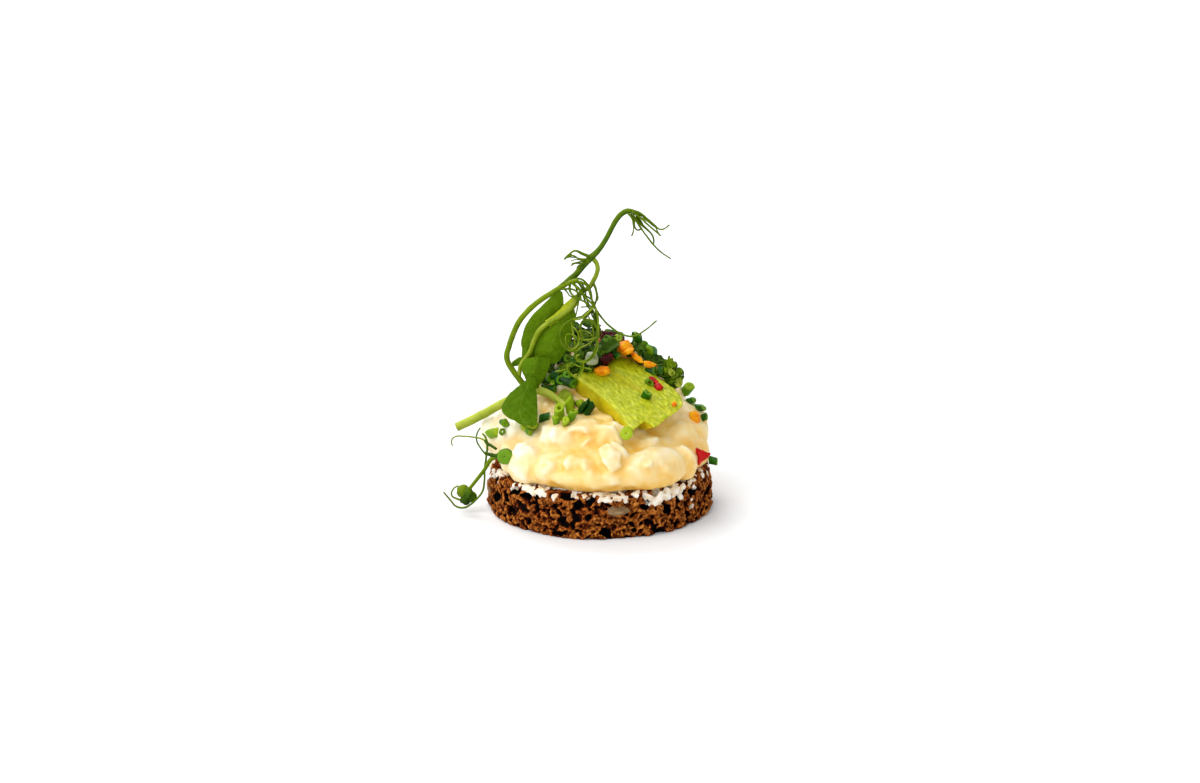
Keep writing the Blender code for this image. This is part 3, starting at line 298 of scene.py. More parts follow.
def thin_out(obj, triangles):
    """Fewer triangles where a piece has more than this."""
    count = sum(len(face.vertices) - 2 for face in obj.data.polygons)
    if count > triangles:
        modify(obj, "DECIMATE", ratio=triangles / count, use_collapse_triangulate=True)


# %% Tools: handing a piece over
def hand_over(obj, name, finish, nodes=(), smooth=True):
    """Scales a finished piece to metres, gives it its finish, hangs it under the root body and hides the
    solids it replaces.
    """
    obj.name = name
    obj.data.name = name
    obj.data.transform(Matrix.Scale(MM, 4))
    obj.data.materials.clear()
    obj.data.materials.append(finish)
    for face in obj.data.polygons:
        face.use_smooth = smooth
    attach(obj, "root")
    if nodes:
        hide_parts(*nodes)
    count = sum(len(face.vertices) - 2 for face in obj.data.polygons)
    print(name, count, "triangles")


# %% [markdown]
# ## A bench for finishes
# A finish is a Principled shader with a few nodes before it. Colours are written as the eye reads them, from
# 0 to 255, and made linear here. Patterns read object coordinates, in metres, so a noise scale of 1000 is a
# bump each millimetre.

# %% Tools: finishes
def paint(red, green, blue):
    """A colour as read on a screen, made linear."""
    return tuple((value / 255) ** 2.2 for value in (red, green, blue)) + (1.0,)


def new_finish(name, scatter=None, **fixed):
    """A material with its fixed sockets and its scattering (weight, scale, radius), its tree and shader."""
    if scatter:
        fixed.update(zip(("Subsurface_Weight", "Subsurface_Scale", "Subsurface_Radius"), scatter))
    made = bpy.data.materials.new(name)
    made.use_nodes = True
    shader = made.node_tree.nodes["Principled BSDF"]
    for key, value in fixed.items():
        shader.inputs[key.replace("_", " ")].default_value = value
    return made, made.node_tree, shader


def dress(tree, shader, colour, relief):
    """Gives a shader its colour and its bump."""
    tree.links.new(colour, shader.inputs["Base Color"])
    tree.links.new(relief, shader.inputs["Normal"])


def feed(tree, socket, value):
    """Links another node's output to a socket, or sets the socket to a number or colour."""
    if isinstance(value, bpy.types.NodeSocket):
        tree.links.new(value, socket)
    else:
        socket.default_value = value


def add(tree, kind, inputs, **settings):
    """A node whose inputs are numbers, colours or other nodes' outputs; gives its first output."""
    made = tree.nodes.new("ShaderNode" + kind)
    for key, value in settings.items():
        setattr(made, key, value)
    for key, value in inputs.items():
        feed(tree, made.inputs[key], value)
    return made.outputs[0]


def place_of(tree):
    """Object coordinates."""
    made = tree.nodes.new("ShaderNodeTexCoord")
    return made.outputs["Object"]


def parts_of(tree, vector):
    """The X, Y and Z of a vector."""
    made = tree.nodes.new("ShaderNodeSeparateXYZ")
    tree.links.new(vector, made.inputs[0])
    return made.outputs


def attribute(tree, name):
    made = tree.nodes.new("ShaderNodeAttribute")
    made.attribute_name = name
    return made.outputs["Fac"]


def grain(tree, scale, detail=3.0, stretch=(1, 1, 1), roughness=0.6):
    """Noise that is centred on a half."""
    place = add(tree, "VectorMath", {0: place_of(tree), 1: stretch}, operation="MULTIPLY")
    inputs = {"Vector": place, "Scale": scale, "Detail": detail, "Roughness": roughness}
    return add(tree, "TexNoise", inputs)


def sum_of(tree, first, second, times=1.0):
    """first + second * times"""
    return add(tree, "Math", {0: second, 1: times, 2: first}, operation="MULTIPLY_ADD")


def ramp(tree, factor, *stops):
    """Colours along a number: each stop is a position, red, green and blue."""
    made = tree.nodes.new("ShaderNodeValToRGB")
    elements = made.color_ramp.elements
    while len(elements) < len(stops):
        elements.new(0.5)
    for element, (position, *colour) in zip(elements, stops):
        element.position = position
        element.color = paint(*colour)
    tree.links.new(factor, made.inputs[0])
    return made.outputs[0]


def mixed(tree, factor, first, second, blend="MIX"):
    made = tree.nodes.new("ShaderNodeMix")
    made.data_type = "RGBA"
    made.blend_type = blend
    for index, value in ((0, factor), (6, first), (7, second)):
        feed(tree, made.inputs[index], value)
    return made.outputs[2]


def bump(tree, height, distance, strength=1.0):
    inputs = {"Height": height, "Distance": distance, "Strength": strength}
    return add(tree, "Bump", inputs)


def between(tree, value, low, high, new_low=0.0, new_high=1.0):
    """A number's range stretched to another and held there."""
    inputs = {0: value, 1: low, 2: high, 3: new_low, 4: new_high}
    return add(tree, "MapRange", inputs)


# %% [markdown]
# ## The bread
# Dark rye bread is an open sponge: thin, warm brown walls round holes of every size, nearly black inside.
# A bump map can't break the outline the way real holes do. So the round is cut for real. A plain cylinder
# gets rounded edges and an uneven side, thousands of balls of three sizes are made one body by a voxel
# remesh and roughened by noise, and that body is taken away from the round's side and rim.

# %% The round's side
BREAD_RADIUS = 27.5
BREAD_TOP = 10.8


def bread_side(angle, height):
    """Radius of the bread's side at an angle and a height."""
    slow = around(2.2, angle, height * 0.12)
    quick = around(9.0, angle, height * 0.45)
    lean = BREAD_RADIUS - 0.075 * height
    return lean + 0.55 * noise.noise(slow) + 0.5 * noise.noise(quick)


def bread_blank():
    """The uncut round, with soft edges and its uneven side."""
    unselect()
    bpy.ops.mesh.primitive_cylinder_add(
        vertices=160, radius=BREAD_RADIUS, depth=BREAD_TOP, location=(0, 0, BREAD_TOP / 2)
    )
    blank = named("bread_crumb")
    bpy.ops.object.transform_apply(location=True)
    bpy.ops.object.mode_set(mode="EDIT")
    bpy.ops.mesh.select_all(action="DESELECT")
    bm = bmesh.from_edit_mesh(blank.data)
    for edge in bm.edges:
        level = abs(edge.verts[0].co.z - edge.verts[1].co.z) < 0.01
        edge.select = level
    bm.select_flush_mode()
    bmesh.update_edit_mesh(blank.data)
    bpy.ops.mesh.bevel(offset=1.0, segments=3)
    bpy.ops.object.mode_set(mode="OBJECT")
    modify(blank, "REMESH", mode="VOXEL", voxel_size=0.3)
    points = points_of(blank.data)
    for point in points:
        angle = math.atan2(point[1], point[0])
        point[:2] *= bread_side(angle, float(point[2])) / BREAD_RADIUS
    move_points(blank.data, points)
    return blank


bread = bread_blank()
print("round", len(bread.data.vertices), "corners")

# %% [markdown]
# The holes lie near the side, the large ones clear of each other and of the seed that sits in the front.
# Small ones crowd between them. A last set opens the rim of the top, which shows beside the butter.

# %% The holes
PORE_SIZES = ((0.95, 1.7, 150, 0.95), (0.45, 0.85, 1000, 0.88), (0.25, 0.42, 5500, 0.9))
KERNELS = ((4.6, -1.9, 0.0),)
BACK_KERNELS = ((74, 5.2), (141, 3.4), (183, 4.8), (20, 6.0))


def side_place(angle, height, inside=0.0):
    return around(bread_side(angle, height) - inside, angle, height)


def kernel_places():
    """Where the seeds sit: one by the front view, the others by degrees round and height."""
    found = []
    for right, up, turn in KERNELS:
        depth = -math.sqrt(27.0**2 - right**2)
        place = seen(right, up, depth)
        found.append((math.atan2(place.y, place.x), place.z, turn))
    for degrees, height in BACK_KERNELS:
        found.append((math.radians(degrees), height, math.radians(degrees * 3 % 50 - 25)))
    return found


def unit_ball(fineness):
    unselect()
    bpy.ops.mesh.primitive_ico_sphere_add(subdivisions=fineness, radius=1.0)
    return named("unit_ball")


def pore_cloud():
    dice = random.Random(31)
    kernels = [side_place(angle, height) for angle, height, _ in kernel_places()]
    places = []
    centres = np.empty((0, 3))
    sizes = np.empty(0)
    for smallest, largest, count, apart in PORE_SIZES:
        for _ in range(count):
            angle = dice.uniform(0, math.tau)
            height = dice.uniform(0.2, BREAD_TOP - 0.1)
            size = dice.uniform(smallest, largest)
            inside = size * dice.uniform(-0.1, 0.6)
            centre = side_place(angle, height, inside)
            if any((centre - kernel).length < size + 1.6 for kernel in kernels):
                continue
            gaps = np.linalg.norm(centres - np.array(centre), axis=1)
            if (gaps < (size + sizes) * apart).any():
                continue
            centres = np.vstack((centres, centre))
            sizes = np.append(sizes, size)
            turn = Matrix.Rotation(angle, 4, "Z") @ Matrix.Rotation(dice.uniform(-1.2, 1.2), 4, "X")
            radii = (size, size * dice.uniform(0.8, 1.5), size * dice.uniform(0.6, 1.05))
            places.append(stretched(centre, radii, turn))
    for _ in range(320):
        angle = dice.uniform(0, math.tau)
        size = dice.uniform(0.25, 0.8)
        out = dice.uniform(22.5, 26.6)
        centre = around(out, angle, BREAD_TOP + 0.2 * size)
        places.append(stretched(centre, (size, size * 1.2, size * 0.9)))
    ball = unit_ball(2)
    cloud = copies(ball, places, "pores")
    drop(ball)
    modify(cloud, "REMESH", mode="VOXEL", voxel_size=0.22)
    roll(cloud.data, ((1.2, 0.5), (0.55, 0.26)), 11.0)
    return cloud


pores = pore_cloud()
modify(bread, "BOOLEAN", operation="DIFFERENCE", object=pores, solver="MANIFOLD")
drop(pores)
modify(bread, "REMESH", mode="VOXEL", voxel_size=0.22)
print("loose crumbs dropped", largest_only(bread), "corners")
roll(bread.data, ((1.3, 0.34), (0.55, 0.2), (0.27, 0.1)), 4.0)
points = points_of(bread.data)
points[:, 2] = np.maximum(points[:, 2], 0.02)
move_points(bread.data, points)
bread_skin = surface_of(bread)

# %% [markdown]
# The holes' colour comes from two numbers for each corner: how deep it lies behind the smooth side, and
# how far it stands out from its surroundings. Deep is nearly black, partly the crumb's own darker colour and
# partly painted shade; walls are brown; hollows get painted shade and edges a painted highlight. The finish
# then only has to add the fine grain, whose dark specks are painted shade in tiny holes and bright ones
# painted glints.

# %% The bread's finish
points = points_of(bread.data)
deep = []
for x, y, z in points.tolist():
    behind = bread_side(math.atan2(y, x), z) - math.hypot(x, y)
    below = BREAD_TOP - z
    deep.append(max(0.0, min(behind, below + 0.1, 3.0)))
store(bread.data, "deep", deep)
store(bread.data, "raised", raised(bread.data, 8))
thin_out(bread, 192000)

crumb, tree, shader = new_finish("dark_bread", Roughness=0.9, Specular_IOR_Level=0.08)
depth_here = sum_of(tree, attribute(tree, "deep"), grain(tree, 1900), 0.4)
depth_here = sum_of(tree, depth_here, between(tree, grain(tree, 330, 2.0), 0.35, 0.65, -1.0, 1.0), 0.16)
# Painted shade: the deeper a corner lies in a hole, the darker it is, down to near black; partly the crumb's
# own colour.
crumb_with_painted_pore_shade = ramp(
    tree,
    between(tree, depth_here, 0.2, 1.75),
    (0.0, 238, 158, 74),
    (0.2, 188, 98, 26),
    (0.4, 100, 37, 5),
    (0.58, 18, 5, 1),
)
# Painted highlight and shade: hollows are darkened and edges that stand out stay lightest.
edge = between(tree, attribute(tree, "raised"), -0.12, 0.16)
painted_ridge_light_hollow_shade = ramp(tree, edge, (0.0, 96, 78, 60), (0.5, 190, 180, 166), (1.0, 255, 255, 255))
# Fine grain: its dark specks are painted shade in tiny holes, its bright ones painted glints.
speck_painted_glints_pit_shade = ramp(
    tree,
    grain(tree, 1300, 6.0, roughness=0.8),
    (0.4, 70, 42, 26),
    (0.5, 190, 160, 132),
    (0.6, 255, 250, 240),
)
colour = mixed(tree, 1.0, mixed(tree, 1.0, crumb_with_painted_pore_shade, painted_ridge_light_hollow_shade, "MULTIPLY"), speck_painted_glints_pit_shade, "MULTIPLY")
dress(tree, shader, colour, bump(tree, grain(tree, 2600, 5.0), 0.0005, 0.9))
hand_over(bread, "bread_crumb", crumb, ["bread_round"])

# %% [markdown]
# ## The seeds in the bread
# A seed is a flat drop with two soft keels, grey-brown and smooth among the rough crumb. One ball,
# squeezed and pinched to a point, is the pattern for all of them. Each sits half sunk in the side.

# %% The seeds
def kernel_pattern():
    pattern = unit_ball(4)
    points = points_of(pattern.data)
    along = points[:, 0]
    points[:, 1] *= 0.85 - 0.35 * along
    points[:, 2] *= 0.85 - 0.25 * along
    points[:, 2] += 0.12 * np.cos(points[:, 1] * 9) * np.sign(points[:, 2]) * (1 - along**2)
    move_points(pattern.data, points)
    return pattern


seed_form = kernel_pattern()
seed_places = []
for angle, height, turn in kernel_places():
    place = side_place(angle, height, 0.15)
    frame_turn = Matrix.Rotation(angle + math.pi / 2, 4, "Z") @ Matrix.Rotation(turn, 4, "Y")
    seed_places.append(stretched(place, (2.8, 0.85, 1.35), frame_turn))
seeds = copies(seed_form, seed_places, "bread_seeds", [0.2, 0.6, 0.4, 0.8, 0.5])
drop(seed_form)
husk, tree, shader = new_finish("seed_husk", Roughness=0.5)
streak = grain(tree, 420, 4.0, (1, 1, 3.2))
colour = ramp(tree, streak, (0.28, 74, 50, 24), (0.5, 122, 92, 54), (0.75, 162, 134, 92))
dress(tree, shader, colour, bump(tree, streak, 0.0002, 0.5))
hand_over(seeds, "bread_seeds", husk)

# %% [markdown]
# ## The butter
# The butter is thin and white, and the knife dragged it over the rim in ragged patches that fill some holes
# and leave others open. It could be painted on, but its patches have thickness and edges that catch light.
# So a thin layer covers the top, and small flat blobs are thrown on the bread itself wherever a patch shows.
# A fine voxel remesh melts them together.

# %% The butter's layer and patches
BUTTER_PATCHES = (
    # left, right, bottom and top in the front view, and how many blobs
    (-25.0, -22.4, 6.6, 8.2, 12),
    (-21.9, -20.3, 3.4, 5.4, 7),
    (-20.2, -17.6, 3.6, 5.4, 12),
    (-17.8, -13.6, 2.0, 5.2, 44),
    (-13.6, -10.2, 3.2, 5.0, 16),
    (-12.0, -10.9, 0.9, 2.3, 4),
    (-10.4, -6.6, 2.9, 4.7, 14),
    (-6.6, -0.2, 1.0, 3.7, 40),
    (-0.2, 6.4, 0.7, 3.5, 44),
    (7.8, 10.4, 1.6, 4.3, 10),
    (10.6, 15.2, -0.2, 3.8, 52),
    (15.2, 20.2, 1.5, 4.8, 46),
    (20.2, 23.2, 4.0, 7.0, 16),
    (24.2, 26.6, 6.6, 9.4, 12),
    (22.3, 22.8, -2.6, 1.6, 3),
)
BUTTER_RADIUS = 26
# degrees round the back, and half the width in degrees
BACK_PATCHES = ((22, 9), (49, 5), (71, 12), (98, 7), (112, 4), (133, 11), (158, 6), (171, 12), (196, 8))


def butter_rim(angle):
    """Radius of the butter's rim at an angle."""
    return 23.2 + 1.8 * noise.noise(around(4.6, angle, 7.0))


def butter_layer():
    unselect()
    bpy.ops.mesh.primitive_cylinder_add(
        vertices=160, radius=BUTTER_RADIUS, depth=0.8, location=(0, 0, 11.0)
    )
    layer = named("butter_spread")
    bpy.ops.object.transform_apply(location=True)
    points = points_of(layer.data)
    for point in points:
        angle = math.atan2(point[1], point[0])
        point[:2] *= butter_rim(angle) / BUTTER_RADIUS
    move_points(layer.data, points)
    return layer


def butter_blobs():
    dice = random.Random(8)
    places = []
    for left, right, bottom, top, count in BUTTER_PATCHES:
        for _ in range(count):
            across = dice.uniform(left, right)
            place, normal = hit(bread_skin, across, dice.uniform(bottom, top))
            size = dice.uniform(0.45, 1.05)
            out = Vector((place.x, place.y, 0)).normalized() * (1.4 if place.z < 10.0 else 0.2)
            turn = facing(normal + out, dice.uniform(0, 3))
            places.append(stretched(place, (size, size * dice.uniform(0.5, 1.0), 0.24), turn))
    for degrees, half in BACK_PATCHES:
        low = dice.uniform(6.8, 9.2)
        for _ in range(half * 5):
            angle = math.radians(dice.gauss(degrees, half / 2.2))
            height = dice.uniform(low, BREAD_TOP + 0.6)
            start = around(60, angle, height + 6)
            aim = around(20, angle, height - 2) - start
            place, normal, _, _ = bread_skin.ray_cast(start, aim.normalized())
            if place is None:
                continue
            size = dice.uniform(0.34, 0.72)
            turn = facing(normal, dice.uniform(0, 3))
            places.append(stretched(place, (size, size * dice.uniform(0.6, 1.0), 0.26), turn))
    ball = unit_ball(2)
    blobs = copies(ball, places, "blobs")
    drop(ball)
    return blobs


butter = join([butter_layer(), butter_blobs()], "butter_spread")
modify(butter, "REMESH", mode="VOXEL", voxel_size=0.2)
roll(butter.data, ((0.9, 0.16), (0.4, 0.08)), 2.0)
thin_out(butter, 90000)
cream, tree, shader = new_finish("butter", (0.25, 0.0012, (1.0, 0.7, 0.4)), Roughness=0.42)
tone = ramp(tree, grain(tree, 500, 4.0), (0.34, 226, 194, 150), (0.56, 250, 240, 224))
dress(tree, shader, tone, bump(tree, grain(tree, 1500), 0.0002, 0.4))
hand_over(butter, "butter_spread", cream, ["butter_layer"])

# %% [markdown]
# ## The salad
# The salad is chopped and bound with a thick, pale dressing: large soft lumps and smaller chunks with dulled
# corners on them. Its valleys are painted warm yellow as shade. Sculpting it by hand would take long
# and couldn't be repeated. So it is built up as a cook would: cores for the heap, lumps at the
# places where the front view has them and at seeded ones behind, a ring of small ones round the foot, then
# the chunks. One voxel remesh makes it a single skin, smoothing dulls it, and noise makes it uneven.

# %% The heap's cores and lumps
SALAD_FOOT = 11.3
FOOT_RING = 23.4
FAR = 60
GOLDEN_STEP = 0.618034
CORES = (
    ((0.0, 0.0, 14.6), (26.0, 26.0, 8.0)),
    ((-4.0, 6.0, 17.0), (18.0, 15.0, 12.0)),
    ((2.0, 12.0, 18.5), (19.5, 13.0, 14.0)),
    ((14.0, 3.0, 17.0), (11.5, 14.0, 8.3)),
    ((3.0, 10.5, 26.0), (13.5, 9.6, 12.4)),
    ((-17.0, 2.0, 17.5), (9.5, 12.0, 8.0)),
    ((-11.0, 6.0, 22.0), (8.0, 8.0, 7.0)),
    ((12.0, 8.0, 21.5), (9.0, 9.5, 8.5)),
    ((-3.6, 6.5, 31.6), (6.8, 6.0, 6.2)),
    ((-7.6, 7.0, 28.4), (6.0, 6.0, 6.4)),
    ((-3.0, -6.5, 17.0), (18.0, 13.0, 8.4)),
)
FRONT_LUMPS = (
    # right, up, half width, depth and half height, and how far it stands out
    (-27.5, 19.2, 3.5, 3.8, 3.3, 2.0),
    (-27.7, 15.6, 4.1, 4.6, 3.9, 2.3),
    (-21.4, 18.5, 3.8, 3.6, 3.2, 1.5),
    (-19.2, 11.4, 5.8, 4.5, 5.4, 1.5),
    (-10.6, 17.4, 5.6, 3.8, 4.2, 1.4),
    (-3.7, 18.9, 5.4, 3.6, 3.8, 1.9),
    (3.6, 17.4, 4.0, 3.0, 3.4, 1.6),
    (2.6, 11.6, 4.2, 3.0, 4.4, 1.7),
    (-5.9, 9.8, 4.8, 3.4, 3.8, 1.3),
    (-13.4, 8.2, 3.8, 3.0, 3.0, 1.2),
    (13.8, 9.8, 9.2, 4.4, 5.2, 1.9),
    (21.4, 10.6, 4.6, 4.4, 4.4, 1.5),
    (12.3, 15.4, 6.2, 3.8, 3.4, 0.9),
    (21.4, 17.2, 5.8, 5.0, 4.4, 1.2),
    (25.4, 14.6, 3.4, 4.6, 4.2, 1.2),
    (-4.4, 5.9, 9.6, 3.2, 2.4, 1.5),
    (8.0, 5.6, 5.6, 3.0, 2.2, 1.2),
    (-23.0, 9.0, 3.4, 3.4, 2.8, 1.1),
    (-9.0, 21.8, 4.2, 3.2, 3.0, 1.0),
)


def round_outward(dice, low, high, first, spread, step=None):
    """A direction out of the heap: its lift is drawn, its angle drawn too or stepped evenly."""
    share = dice.random() if step is None else (step * GOLDEN_STEP) % 1.0
    angle = math.radians(first + spread * share)
    lift = math.radians(dice.uniform(low, high))
    return around(math.cos(lift), angle, math.sin(lift))


def cast_inward(surface, outward, middle=(0, 3, 14)):
    """Where a ray from far outside, back along this direction, meets the surface, and the normal."""
    place, normal, _, _ = surface.ray_cast(Vector(middle) + outward * FAR, -outward)
    return place, normal


def heap():
    """The heap as the solid has it: cores, front lumps and seeded lumps round the back."""
    ball = unit_ball(4)
    places = [stretched(centre, radii) for centre, radii in CORES]
    core = copies(ball, places, "core")
    surface = surface_of(core)
    for right, up, wide, deep, high, out in FRONT_LUMPS:
        place, normal = hit(surface, right, up)
        places.append(stretched(place + normal * (out - deep), (wide, high, deep), facing(normal)))
    dice = random.Random(29)
    for step in range(64):
        angle = math.radians(step * 5.6)
        size = dice.uniform(1.2, 1.9)
        centre = around(FOOT_RING, angle, SALAD_FOOT + 1.1)
        places.append(stretched(centre, (size, size * 1.9, size), Matrix.Rotation(angle, 4, "Z")))
    dice = random.Random(5)
    for step in range(46):
        place, normal = cast_inward(surface, round_outward(dice, 4, 62, -12, 204, step))
        if place is None:
            continue
        size = dice.uniform(2.8, 5.2)
        centre = place + normal * (dice.uniform(0.8, 1.8) - size * 0.8)
        flat = (size * dice.uniform(0.9, 1.3), size * dice.uniform(0.8, 1.1), size * 0.8)
        places.append(stretched(centre, flat, facing(normal, dice.uniform(0, 3))))
    made = copies(ball, places, "heap")
    drop(ball, core)
    modify(made, "REMESH", mode="VOXEL", voxel_size=0.55)
    modify(made, "SMOOTH", factor=0.5, iterations=3)
    return made


salad = heap()
heap_skin = surface_of(salad)
print("heap", len(salad.data.vertices), "corners")

# %% [markdown]
# The chunks that the front view picks out are placed one by one: the wedge that points down in the middle,
# the shredded ridge over it, the small facets on the left bulge. The others are thrown on by a seeded rule.

# %% The chunks on it
FRONT_CHUNKS = (
    # right, up, half width, half height, depth, turn in degrees, how far it stands out
    (2.4, 11.8, 4.4, 3.2, 1.6, -58, 1.3),
    (1.4, 16.0, 5.4, 3.6, 1.7, -16, 1.1),
    (5.2, 13.2, 2.4, 3.4, 1.2, -20, 0.8),
    (-0.6, 17.8, 4.6, 1.7, 1.6, -12, 1.2),
    (-5.8, 18.6, 3.6, 1.5, 1.6, 14, 1.2),
    (-2.6, 15.6, 3.4, 1.3, 1.4, 28, 1.0),
    (3.0, 19.4, 2.8, 1.7, 1.5, -30, 1.0),
    (-10.8, 16.8, 2.6, 1.8, 1.4, -34, 0.9),
    (-13.8, 18.6, 2.0, 1.5, 1.2, 10, 0.8),
    (-9.8, 12.4, 2.2, 1.6, 1.2, 40, 0.7),
    (-7.6, 10.4, 1.8, 2.6, 1.3, 0, 0.8),
    (-3.8, 8.6, 1.6, 2.4, 1.2, 8, 0.7),
    (-12.6, 8.6, 2.2, 1.3, 1.1, 30, 0.7),
    (-19.6, 13.4, 3.4, 2.6, 1.4, 20, 0.8),
    (-20.4, 8.2, 2.4, 1.8, 1.1, -20, 0.6),
    (10.6, 11.4, 2.8, 2.0, 1.2, 24, 0.6),
    (16.8, 9.0, 3.2, 2.0, 1.2, -10, 0.6),
    (21.8, 12.6, 2.0, 2.6, 1.2, 6, 0.7),
    (13.6, 15.6, 2.6, 1.3, 1.2, 12, 0.8),
    (24.6, 16.0, 1.6, 2.4, 1.1, 0, 0.7),
    (-25.6, 18.6, 1.9, 1.6, 1.1, 0, 0.6),
)


def chunk_pattern(seed, amount=0.24):
    """A ball with few, uneven corners."""
    pattern = unit_ball(1)
    dice = random.Random(seed)
    points = points_of(pattern.data)
    points += [[dice.uniform(-amount, amount) for _ in range(3)] for _ in points]
    move_points(pattern.data, points)
    return pattern


def chunk_turn(normal, degrees):
    """Turned about the surface's normal, from level."""
    across = Vector((0, 0, 1)).cross(normal)
    across = (across if across.length > 0.1 else Vector((1, 0, 0))).normalized()
    up = normal.cross(across)
    spin = math.radians(degrees)
    first = across * math.cos(spin) + up * math.sin(spin)
    second = normal.cross(first)
    return Matrix((first, second, normal)).transposed().to_4x4()


def chunks():
    dice = random.Random(14)
    groups = [[], [], []]
    for index, (right, up, wide, high, thick, degrees, out) in enumerate(FRONT_CHUNKS):
        place, normal = hit(heap_skin, right, up)
        turn = chunk_turn(normal, degrees)
        centre = place + normal * (out - thick)
        groups[index % 3].append(stretched(centre, (wide, high, thick), turn))
    for step in range(190):
        place, normal = cast_inward(heap_skin, round_outward(dice, 2, 80, 0, 360, step))
        if place is None or place.z < SALAD_FOOT + 1.0:
            continue
        front = place.y < -6
        size = dice.uniform(2.0, 4.0) if front else dice.uniform(1.4, 3.6)
        thick = size * (0.4 if front else dice.uniform(0.4, 0.7))
        out = dice.uniform(0.1, 0.5) if front else dice.uniform(0.2, 0.7)
        flat = (size * dice.uniform(0.9, 1.6), size * dice.uniform(0.6, 1.0), thick)
        turn = chunk_turn(normal, dice.uniform(0, 180))
        groups[step % 3].append(stretched(place + normal * (out - thick), flat, turn))
    made = []
    for seed, places in enumerate(groups):
        pattern = chunk_pattern(60 + seed)
        made.append(copies(pattern, places, "chunks"))
        drop(pattern)
    return made


salad = join([salad] + chunks(), "salad_heap")
modify(salad, "REMESH", mode="VOXEL", voxel_size=0.33)
modify(salad, "SMOOTH", factor=0.5, iterations=7)
roll(salad.data, ((3.4, 0.5), (1.5, 0.12)), 9.0)
print("salad", len(salad.data.vertices), "corners")

# %% [markdown]
# ## The avocado slice
# One slice of ripe avocado lies down the front of the heap. Its top face was cut once and is nearly flat, its
# left side is yellower, and its front end is thin, because it leans on the salad there. An outline drawn in
# the front view is laid on the slope it rests on and filled. A remesh gives it enough corners for a slight
# hollow, soft edges and the fibres that run along it.

# %% The slope and the outline
SLAB_THICK = 5.4
SLAB_LENGTH = 26.0
UNDERCUT = 5.6
SLOPE_POINTS = ((-7.4, 1.0, 33.3), (7.7, -18.0, 24.3), (4.3, 8.0, 35.3))
SLAB_OUTLINE = (
    (-7.2, 31.8), (-5.4, 30.8), (-2.0, 28.4), (1.7, 25.2), (5.4, 21.6), (7.4, 18.4), (8.4, 17.9),
    (10.0, 19.3), (11.3, 20.3), (12.4, 19.6), (13.6, 18.7), (15.0, 19.6), (17.2, 21.4), (19.4, 22.8),
    (20.7, 24.2), (20.3, 26.2), (18.4, 28.6), (15.7, 30.3), (12.8, 32.3), (10.6, 34.1), (7.6, 35.9),
    (4.6, 36.2), (2.0, 35.0), (-2.6, 33.2), (-6.2, 32.4),
)
SLOPE_ORIGIN = Vector(SLOPE_POINTS[0])
SLOPE_ALONG = (Vector(SLOPE_POINTS[1]) - SLOPE_ORIGIN).normalized()
SLOPE_NORMAL = SLOPE_ALONG.cross(Vector(SLOPE_POINTS[2]) - SLOPE_ORIGIN).normalized()
SLOPE_ACROSS = SLOPE_NORMAL.cross(SLOPE_ALONG)
SLOPE_TURN = Matrix((SLOPE_ALONG, SLOPE_ACROSS, SLOPE_NORMAL)).transposed().to_4x4()
SLOPE = Matrix.Translation(SLOPE_ORIGIN) @ SLOPE_TURN


def on_slope(right, up):
    """The place on the slice's top plane that shows here, in the slice's own flat coordinates."""
    ray = sight(right, up)
    reach = (SLOPE_ORIGIN - EYE).dot(SLOPE_NORMAL) / ray.dot(SLOPE_NORMAL)
    return SLOPE.inverted() @ (EYE + ray * reach)


def slab(grow, above, below, rounding):
    """The outline filled from below to above its top plane, lying flat."""
    unselect()
    bpy.ops.curve.primitive_bezier_circle_add()
    helper = named("slab")
    flat = helper.data
    flat.splines.clear()
    flat.dimensions = "2D"
    flat.fill_mode = "BOTH"
    flat.extrude = (above + below) / 2 - rounding
    flat.bevel_depth = rounding
    flat.bevel_resolution = 2 if rounding else 0
    flat.offset = grow - rounding
    spline = flat.splines.new("POLY")
    spline.points.add(len(SLAB_OUTLINE) - 1)
    for point, (right, up) in zip(spline.points, SLAB_OUTLINE):
        place = on_slope(right, up)
        point.co = (place.x, place.y, 0, 1)
    spline.use_cyclic_u = True
    bpy.ops.object.convert(target="MESH")
    made = sealed(bpy.context.object)
    made.data.transform(Matrix.Translation((0, 0, (above - below) / 2)))
    return made


def undercut(points):
    """Draws the underside back from the front end."""
    low = np.clip(-points[:, 2] / SLAB_THICK, 0, 1)
    points[:, 0] -= UNDERCUT * low * np.clip((points[:, 0] - 14.0) / 8.0, 0, 1)
    return points


# %% The slice, and its bed in the salad
avocado = slab(0.0, 0.0, SLAB_THICK, 0.5)
modify(avocado, "REMESH", mode="VOXEL", voxel_size=0.3)
modify(avocado, "SMOOTH", factor=0.5, iterations=3)
points = undercut(points_of(avocado.data))
top = np.clip(points[:, 2] / 0.8 + 1.0, 0, 1)
crease = np.exp(-(((points[:, 1] - 9.5 - 0.1 * points[:, 0]) / 1.1) ** 2))
points[:, 2] -= top * 0.35 * crease
for index, (x, y, z) in enumerate(points.tolist()):
    fibre = noise.noise(Vector((x / 2.6, y / 0.55, z / 0.8)))
    wave = noise.noise(Vector((x / 7.0, y / 5.0, 3.0)))
    points[index, 2] += top[index] * (0.13 * fibre + 0.45 * wave)
store(avocado.data, "side", 1 - np.clip(points[:, 2] / 1.1 + 1.0, 0, 1))
store(avocado.data, "along", points[:, 0] / SLAB_LENGTH)
store(avocado.data, "across", points[:, 1] / SLAB_LENGTH)
store(avocado.data, "through", points[:, 2] / SLAB_LENGTH)
move_points(avocado.data, points)
avocado.data.transform(SLOPE)
roll(avocado.data, ((1.1, 0.16), (0.5, 0.07)), 6.0)

